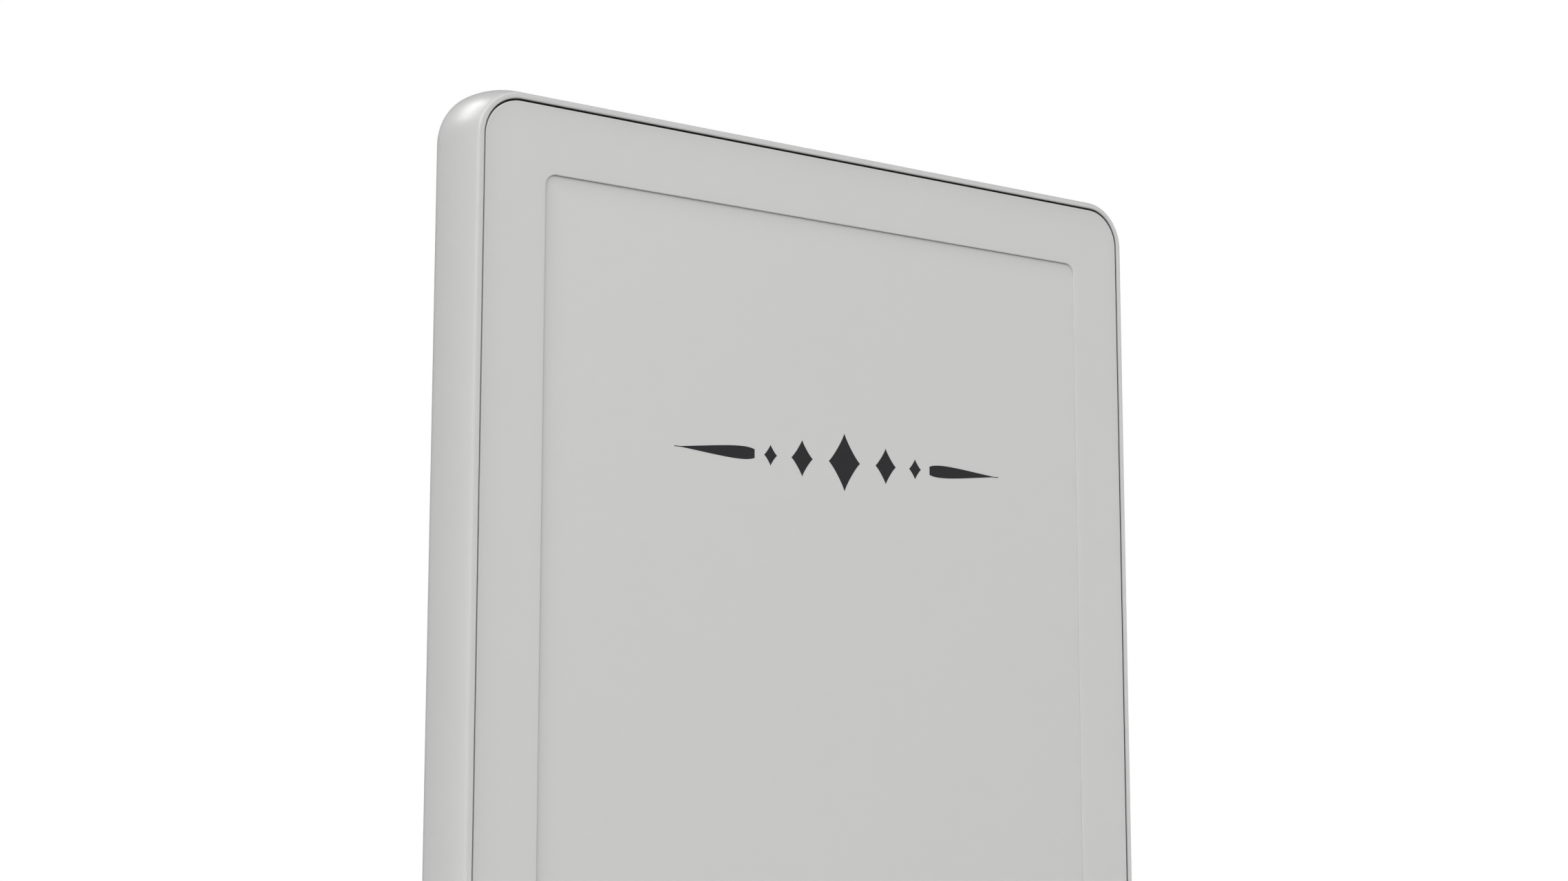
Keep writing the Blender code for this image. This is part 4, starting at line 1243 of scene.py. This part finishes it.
@dataclass
class Screen:
    """The display and the sheet bonded over it, with a plain printer's ornament."""

    body: Body
    drop: float = 25.3 * MM
    shift: float = 1.4 * MM
    ink: float = 0.012 * MM
    # A lozenge is its distance from the ornament's middle, its width and its height.
    large: tuple[float, float, float] = (0.0, 3.3 * MM, 4.8 * MM)
    small: tuple[tuple[float, float, float], ...] = (
        (4.4 * MM, 2.2 * MM, 3.0 * MM),
        (7.6 * MM, 1.3 * MM, 1.7 * MM),
    )
    # A rule is its thick end's and its tip's distance from the middle, and its thickness.
    rule: tuple[float, float, float] = (9.2 * MM, 17.0 * MM, 1.05 * MM)

    def build(self) -> None:
        """Makes the sheet that fills the window, and lays the ornament on it."""
        dress("epaper_panel", Finishes.PAPER)
        low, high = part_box("screen_film")
        depths = (low.y - self.body.front, high.y - self.body.front)
        sheet = lofted([(self.body.window(), depth) for depth in depths])
        face = Piece("screen_face", Finishes.PAPER, "epaper", stands_for=("screen_film",))
        face.make(placed(sheet, self.body.plan()))
        shapes = [self.lozenge(*self.large)]
        for side in (-1, 1):
            for place, width, height in self.small:
                shapes.append(self.lozenge(side * place, width, height))
            shapes.append(self.wedge(side, *self.rule))
        mesh = merged([self.plate(shape, depths[0]) for shape in shapes])
        ornament = Piece("page_ornament", Finishes.INK, "black_plastic")
        ornament.make(placed(mesh, self.body.plan()))

    def plate(self, shape: Sequence[Point], depth: float) -> Mesh:
        """A closed shape as a thin film of ink.

        Args:
            shape: Its points round the ornament's own middle.
            depth: Depth of the display's face behind the front.

        Returns:
            The mesh, as an outline at its depths.
        """
        middle = self.body.panel_high.z - self.drop
        depths = (depth - self.ink, depth + 0.3 * self.ink)
        return prism([[(self.shift + x, middle + y, z) for x, y in shape] for z in depths])

    @staticmethod
    def lozenge(place: float, width: float, height: float) -> list[Point]:
        """A lozenge with softly hollowed sides.

        Args:
            place: How far it stands from the ornament's middle.
            width: Its width.
            height: Its height.

        Returns:
            Its points.
        """
        points = []
        steps, hollow = 64, 2.3
        for step in range(steps):
            turn = math.tau * step / steps
            x = math.copysign(abs(math.cos(turn)) ** hollow, math.cos(turn))
            y = math.copysign(abs(math.sin(turn)) ** hollow, math.sin(turn))
            points.append((place + x * width / 2, y * height / 2))
        return points

    @staticmethod
    def wedge(side: int, start: float, end: float, height: float) -> list[Point]:
        """A rule that tapers away from the ornament's middle.

        Args:
            side: -1 for the left one, 1 for the right one.
            start: Where its thick end stands.
            end: Where its tip stands.
            height: Its greatest thickness.

        Returns:
            Its points.
        """
        upper = []
        steps, blunt, thinnest = 24, 0.04, 0.06
        for step in range(steps + 1):
            share = step / steps
            swell = math.sin(math.pi * min(1.0, blunt + share) ** 0.45)
            x = side * (start + (end - start) * share)
            upper.append((x, height / 2 * max(thinnest, swell)))
        return upper + [(x, -y) for x, y in reversed(upper)]


# ------------------------------------------------------------------ keys


class KeyShape:
    """The shape that every key on the reader shares."""

    rounding = 0.44
    skirt = 0.35 * MM
    skirt_depth = 0.3 * MM
    crown_steps = 9

    @classmethod
    def outline(
        cls, length: float, width: float, along: float = 0.0, across: float = 0.0
    ) -> Outline:
        """A key's outline, or that of the opening round it.

        Args:
            length: The key's length.
            width: The key's width.
            along: Gap added at each end.
            across: Gap added along each side.

        Returns:
            The outline.
        """
        corner = cls.rounding * width + min(along, across)
        return Outline(length + 2 * along, width + 2 * across, corner, steps=14)

    @classmethod
    def cap(
        cls, length: float, width: float, stem: float, edge: float, crown: float
    ) -> Mesh:
        """A key with a softly crowned face, a rounded edge, a stem and a skirt.

        Args:
            length: The key's length.
            width: The key's width.
            stem: Local height, below zero, at which the skirt starts.
            edge: Radius of the rounded edge.
            crown: Height of the crown, whose top is the local zero.

        Returns:
            The mesh, with local Z pointing out of the key.
        """
        cap = cls.outline(length, width)
        half = cap.corner
        levels = []
        for step in range(cls.crown_steps + 1):
            share = 1 - step / cls.crown_steps
            inset = edge + (half * 0.96 - edge) * share
            levels.append((cap.grown(-inset), -crown * (1 - share) ** 2))
        levels += [(cap.grown(-inset), -crown - drop) for inset, drop in fillet(edge, 6)[1:]]
        skirt = cap.grown(cls.skirt)
        levels += [(cap, stem), (skirt, stem), (skirt, stem - cls.skirt_depth)]
        return lofted(levels)


@dataclass
class FrontKeys:
    """The two rockers below the screen."""

    body: Body
    edge: float = 0.28 * MM
    crown: float = 0.10 * MM
    stem: float = 1.25 * MM
    rib_end: float = 0.95 * MM
    foot_end: float = 0.4 * MM
    foot: float = 1.4 * MM
    foot_reach: float = 8 * MM

    def build(self) -> None:
        """Makes both rockers, each on its own body."""
        for side in ("left", "right"):
            node = f"front_key_{side}"
            low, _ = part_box(node)
            middle = middle_of(node)
            length, _, width = (extent - 2 * KeyShape.skirt for extent in sides_of(node))
            stem = low.y - self.body.front - self.stem
            top = stem - 0.2 * MM
            parts = [
                KeyShape.cap(length, width, stem, self.edge, self.crown),
                post_mesh((MM, width * 0.8), (stem - self.rib_end, top)),
            ]
            parts += [
                post_mesh((self.foot, width * 0.5), (stem - self.foot_end, top), place)
                for place in (-self.foot_reach, self.foot_reach)
            ]
            where = facing(FRONT, RIGHT, Vector((middle.x, low.y, middle.z)))
            piece = Piece(f"{side}_rocker", Finishes.KEYS, "key_white", node, (node,))
            piece.make(merged(parts), where)


def post_mesh(size: Point, span: Point, place: float = 0.0) -> Mesh:
    """A small block with softened corners that stands behind a key.

    Args:
        size: Its size along and across the key.
        span: Its low and high local heights.
        place: Where it stands along the key.

    Returns:
        The mesh.
    """
    soft = 0.05 * MM
    outline = Outline(size[0], size[1], 0.15 * MM, (place, 0.0), 4)
    levels = [(outline.grown(-soft), span[0]), (outline, span[0] + soft), (outline, span[1])]
    return lofted(levels)


@dataclass
class SideKeys:
    """The page rocker and the power key on the right edge."""

    width: float = 1.6 * MM
    gaps: Point = (0.2 * MM, 0.15 * MM)
    edge: float = 0.22 * MM
    crown: float = 0.05 * MM
    stem: float = 3.5 * MM
    foot_start: float = 3.6 * MM
    foot: float = 1.4 * MM
    foot_reach: float = 7.0 * MM

    def build(self) -> None:
        """Makes both keys, each on its own body."""
        across = self.width * 0.5
        for node, name in (("page_key", "page_rocker"), ("power_key", "power_button")):
            low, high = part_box(node)
            length = high.z - low.z - 2 * KeyShape.skirt
            parts = [KeyShape.cap(length, self.width, -self.stem, self.edge, self.crown)]
            # Both keys' feet end where the power key does, just short of their switches.
            span = (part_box("power_key")[0].x - high.x, -self.foot_start)
            places = (-self.foot_reach, self.foot_reach) if node == "page_key" else (0.0,)
            parts += [post_mesh((self.foot, across), span, place) for place in places]
            if node == "page_key":
                rib = (low.x - high.x, -self.foot_start)
                parts.append(post_mesh((MM, self.width * 0.8), rib))
            at = Vector((high.x, middle_of("page_key").y, middle_of(node).z))
            piece = Piece(name, Finishes.KEYS, "key_white", node, (node,))
            piece.make(merged(parts), facing(RIGHT, UP, at))


# ------------------------------------------------------------------ sockets


@dataclass
class ChargingPort:
    """The drawn steel shell, the tongue and the contacts of the charging socket."""

    corner: float = 1.59 * MM
    wall: float = 0.3 * MM
    lip: float = 0.09 * MM
    contacts: int = 12
    pitch: float = 0.5 * MM
    half_tongue: float = 0.35 * MM
    setback: float = 0.35 * MM
    contact_length: float = 3.4 * MM

    def build(self) -> None:
        """Makes the socket's visible pieces."""
        low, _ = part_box("usb_shell")
        width, thickness, length = sides_of("usb_shell")
        outer = Outline(width, thickness, self.corner)
        inner = outer.grown(-self.wall)
        edge = fillet(self.lip, 4)
        levels = [(outer, -length)]
        levels += [(outer.grown(-inset), -drop) for inset, drop in reversed(edge)]
        levels += [(inner.grown(inset), -drop) for inset, drop in edge]
        levels.append((inner, -length))
        where = facing(DOWN, RIGHT, Vector((0.0, middle_of("usb_shell").y, low.z)))
        piece = Piece(
            "charging_port", Finishes.NICKEL, "nickel_steel", stands_for=("usb_shell",)
        )
        piece.make(lofted(levels, endless=True), where)
        dress("usb_tongue", Finishes.BLACK)
        tongue_low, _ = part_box("usb_tongue")
        self.build_contacts(where, low.z - tongue_low.z - self.setback)

    def build_contacts(self, where: Matrix, tip: float) -> None:
        """The two rows of gold contacts on the tongue.

        Args:
            where: Matrix from the socket's own space to the frame.
            tip: Local height of the contacts' outer ends, below zero.
        """
        parts = []
        for side in (-1, 1):
            for number in range(self.contacts):
                x = (number - (self.contacts - 1) / 2) * self.pitch
                middle = (x, side * self.half_tongue)
                strip = Outline(0.28 * MM, 0.06 * MM, 0.02 * MM, middle, 2)
                parts.append(lofted([(strip, tip - self.contact_length), (strip, tip)]))
        Piece("port_contacts", Finishes.GOLD, "nickel_steel").make(merged(parts), where)


@dataclass
class StorageCard:
    """The card in its slot at the lower edge."""

    edge: float = 0.08 * MM
    shoulder: float = 6.4 * MM
    notch: float = 1.3 * MM
    corner: float = 0.6 * MM
    contacts: int = 8
    pitch: float = 1.02 * MM

    def outline(self, width: float, length: float) -> list[Point]:
        """The card's outline with its narrower contact end.

        Args:
            width: Width at the outer end.
            length: Length from the outer end to the contact end.

        Returns:
            Points with the outer end on zero, counter-clockwise.
        """
        half = width / 2
        narrow = half - self.notch
        shoulder = length - self.shoulder
        corner = self.corner
        points = [(-half, 0.0), (half, 0.0), (half, shoulder), (narrow, shoulder + self.notch)]
        points += [(narrow, length - corner), (narrow - corner, length)]
        points += [(-half + corner, length), (-half, length - corner)]
        return points

    def build(self) -> None:
        """Makes the card and its contacts, on the card's own body."""
        low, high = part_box("memory_card")
        middle = (low.x + high.x) / 2
        points = self.outline(high.x - low.x, high.z - low.z)
        ends = [[(middle + x, y, low.z + z) for x, z in points] for y in (low.y, high.y)]
        mesh = prism(ends)
        bmesh.ops.bevel(
            mesh, geom=mesh.edges[:], offset=self.edge, segments=3, profile=0.5, affect="EDGES"
        )
        node = "memory_card"
        card = Piece("storage_card", Finishes.BLACK, "black_plastic", node, (node,), 50.0)
        card.make(mesh)
        parts = []
        for number in range(self.contacts):
            x = middle - 3.6 * MM + number * self.pitch
            pad = Outline(0.72 * MM, 2.7 * MM, 0.15 * MM, (x, high.z - 2.1 * MM), 3)
            parts.append(lofted([(pad, low.y - 0.012 * MM), (pad, low.y + 0.02 * MM)]))
        gold = Piece("card_contacts", Finishes.GOLD, "nickel_steel", node)
        gold.make(placed(merged(parts), SWAP_YZ))


# ------------------------------------------------------------------ inside


def dress(node: str, finish: Finishes) -> None:
    """Gives a carried-over piece of the frame its finish.

    Args:
        node: The piece's name.
        finish: The finish to wear.
    """
    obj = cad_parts[node]
    obj.data.materials.clear()
    obj.data.materials.append(finish.material())
    log.info("%s wears %s", node, finish.value.name)


@dataclass
class Innards:
    """The pieces inside the casing, which keep the frame's own shapes."""

    wear: dict[Finishes, tuple[str, ...]] = field(
        default_factory=lambda: {
            Finishes.STEEL: ("mid_frame", "magnet_backing", "side_bracket"),
            Finishes.MAGNET: ("magnet_ring",),
            Finishes.NICKEL: ("card_socket", "shield_can", "reset_switch"),
            Finishes.BOARD: ("main_board",),
            Finishes.FLEX_DOWN: ("display_flex",),
            Finishes.FLEX_SIDE: ("side_flex",),
            Finishes.POUCH: ("battery_cell",),
            Finishes.PAD: ("display_foam",),
            Finishes.TAPE: ("bezel_adhesive",),
            Finishes.BLACK: (
                "flex_latch",
                "processor_chip",
                "charger_chip",
                "reset_button",
                "battery_lead_negative",
            ),
            Finishes.RED: ("battery_lead_positive",),
            Finishes.IVORY: ("flex_connector", "battery_connector", "side_connector"),
            Finishes.CERAMIC: ("chip_antenna",),
        }
    )

    def build(self) -> None:
        """Dresses every inner piece, the screws and the switches among them."""
        for finish, nodes in self.wear.items():
            for node in nodes:
                dress(node, finish)
        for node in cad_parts:
            if node.startswith("screw_") or "_switch" in node:
                dress(node, Finishes.NICKEL)


# ------------------------------------------------------------------ studio


@dataclass(frozen=True)
class Lamp:
    """One soft lamp, aimed at the reader."""

    name: str
    towards: tuple[float, float, float]
    size: float
    power: float
    distance: float = 0.9
    length: float | None = None
    along: tuple[float, float, float] = (0.0, 0.0, 1.0)

    def build(self) -> None:
        """Makes the lamp, unseen by the camera: a disk, or a strip if it has a length."""
        data = bpy.data.lights.new(self.name, "AREA")
        data.shape = "RECTANGLE" if self.length else "DISK"
        data.size = self.length or self.size
        data.size_y = self.size
        data.energy = self.power
        lamp = bpy.data.objects.new(self.name, data)
        outward = Vector(self.towards).normalized()
        along = Vector(self.along)
        along = (along - outward * along.dot(outward)).normalized()
        lamp.matrix_world = facing(outward, along, outward * self.distance)
        lamp.visible_camera = False
        bpy.context.scene.collection.objects.link(lamp)


@dataclass
class Studio:
    """A pale floor, soft light and the camera."""

    body: Body
    floor_half: float = 0.6
    floor_drop: float = 18 * MM
    camera_offset: tuple[float, float, float] = (-121.556 * MM, -154.282 * MM, -50.708 * MM)
    look: tuple[float, float, float] = (0.59728, 0.79030, 0.13671)
    lens: float = 55.41
    sky: float = 0.12
    lamps: tuple[Lamp, ...] = (
        Lamp("lamp_left", (-1.0, 0.0, 0.0), 0.6, 1.9),
        Lamp("lamp_right", (1.0, 0.0, 0.0), 0.6, 1.1),
        Lamp("lamp_side", (0.7, -0.7, 0.0), 0.6, 1.0),
        Lamp("lamp_front", (0.0, -0.7, 0.7), 0.6, 2.95),
        Lamp("lamp_corner", (-0.6, -0.55, 0.6), 0.6, 3.65),
        Lamp("lamp_top", (-0.4, -0.24, 0.88), 0.3, 0.7),
        Lamp("lamp_crown", (-0.36, 0.56, 0.75), 0.06, 1.7, 0.9, 0.46, (0.92, 0.0, 0.39)),
        Lamp("lamp_back", (0.62, 0.74, 0.25), 0.7, 2.4, 1.1),
    )

    def build(self) -> None:
        """Makes the floor, the sky, the lamps and the camera."""
        self.build_floor()
        self.build_sky()
        for lamp in self.lamps:
            lamp.build()
        self.build_camera()

    def build_floor(self) -> None:
        """A pale round floor below the reader."""
        mesh = bmesh.new()
        bmesh.ops.create_circle(mesh, cap_ends=True, segments=96, radius=self.floor_half)
        data = bpy.data.meshes.new("studio_floor")
        mesh.to_mesh(data)
        mesh.free()
        floor = bpy.data.objects.new("studio_floor", data)
        floor.location.z = self.body.low.z - self.floor_drop
        sketch = NodeSketch("studio_paper")
        sketch.set(Base_Color=(0.86, 0.86, 0.86, 1.0), Roughness=0.9)
        sketch.bump(sketch.noise(1.5 * MM), 0.01 * MM)
        data.materials.append(sketch.material)
        bpy.context.scene.collection.objects.link(floor)

    def build_sky(self) -> None:
        """A white backdrop all round, which lights the reader less than it shows."""
        world = bpy.data.worlds.new("studio_sky")
        world.use_nodes = True
        tree = world.node_tree
        shown = tree.nodes["Background"]
        shown.inputs["Color"].default_value = (1.0, 1.0, 1.0, 1.0)
        shown.inputs["Strength"].default_value = 1.0
        light = tree.nodes.new("ShaderNodeBackground")
        light.inputs["Color"].default_value = (1.0, 1.0, 1.0, 1.0)
        light.inputs["Strength"].default_value = self.sky
        choice = tree.nodes.new("ShaderNodeMixShader")
        path = tree.nodes.new("ShaderNodeLightPath")
        tree.links.new(path.outputs["Is Camera Ray"], choice.inputs[0])
        tree.links.new(light.outputs[0], choice.inputs[1])
        tree.links.new(shown.outputs[0], choice.inputs[2])
        tree.links.new(choice.outputs[0], tree.nodes["World Output"].inputs["Surface"])
        bpy.context.scene.world = world
        bpy.context.scene.view_settings.view_transform = "Standard"
        bpy.context.scene.view_settings.look = "None"

    def build_camera(self) -> None:
        """The camera, low at the reader's left and looking slightly up."""
        data = bpy.data.cameras.new("camera")
        data.sensor_fit = "HORIZONTAL"
        data.sensor_width = 36.0
        data.lens = self.lens
        data.clip_start = 0.005
        camera = bpy.data.objects.new("camera", data)
        top = Vector((0.0, self.body.front, self.body.panel_high.z))
        camera.location = top + Vector(self.camera_offset)
        forward = Vector(self.look).normalized()
        right = forward.cross(UP).normalized()
        above = right.cross(forward)
        turn = Matrix((right, above, -forward)).transposed()
        camera.rotation_euler = turn.to_euler()
        bpy.context.scene.collection.objects.link(camera)
        bpy.context.scene.camera = camera


# ------------------------------------------------------------------ assembly


def main() -> None:
    """Builds every sub-assembly of the reader and the studio round it."""
    logging.basicConfig(level=logging.INFO, format="%(name)s: %(message)s")
    body = Body()
    parts = (
        Casing(body),
        FrontPanel(body),
        Screen(body),
        FrontKeys(body),
        SideKeys(),
        ChargingPort(),
        StorageCard(),
        Innards(),
        Studio(body),
    )
    for part in parts:
        part.build()
        log.info("%s is done", type(part).__name__)


if __name__ == "__main__":
    main()
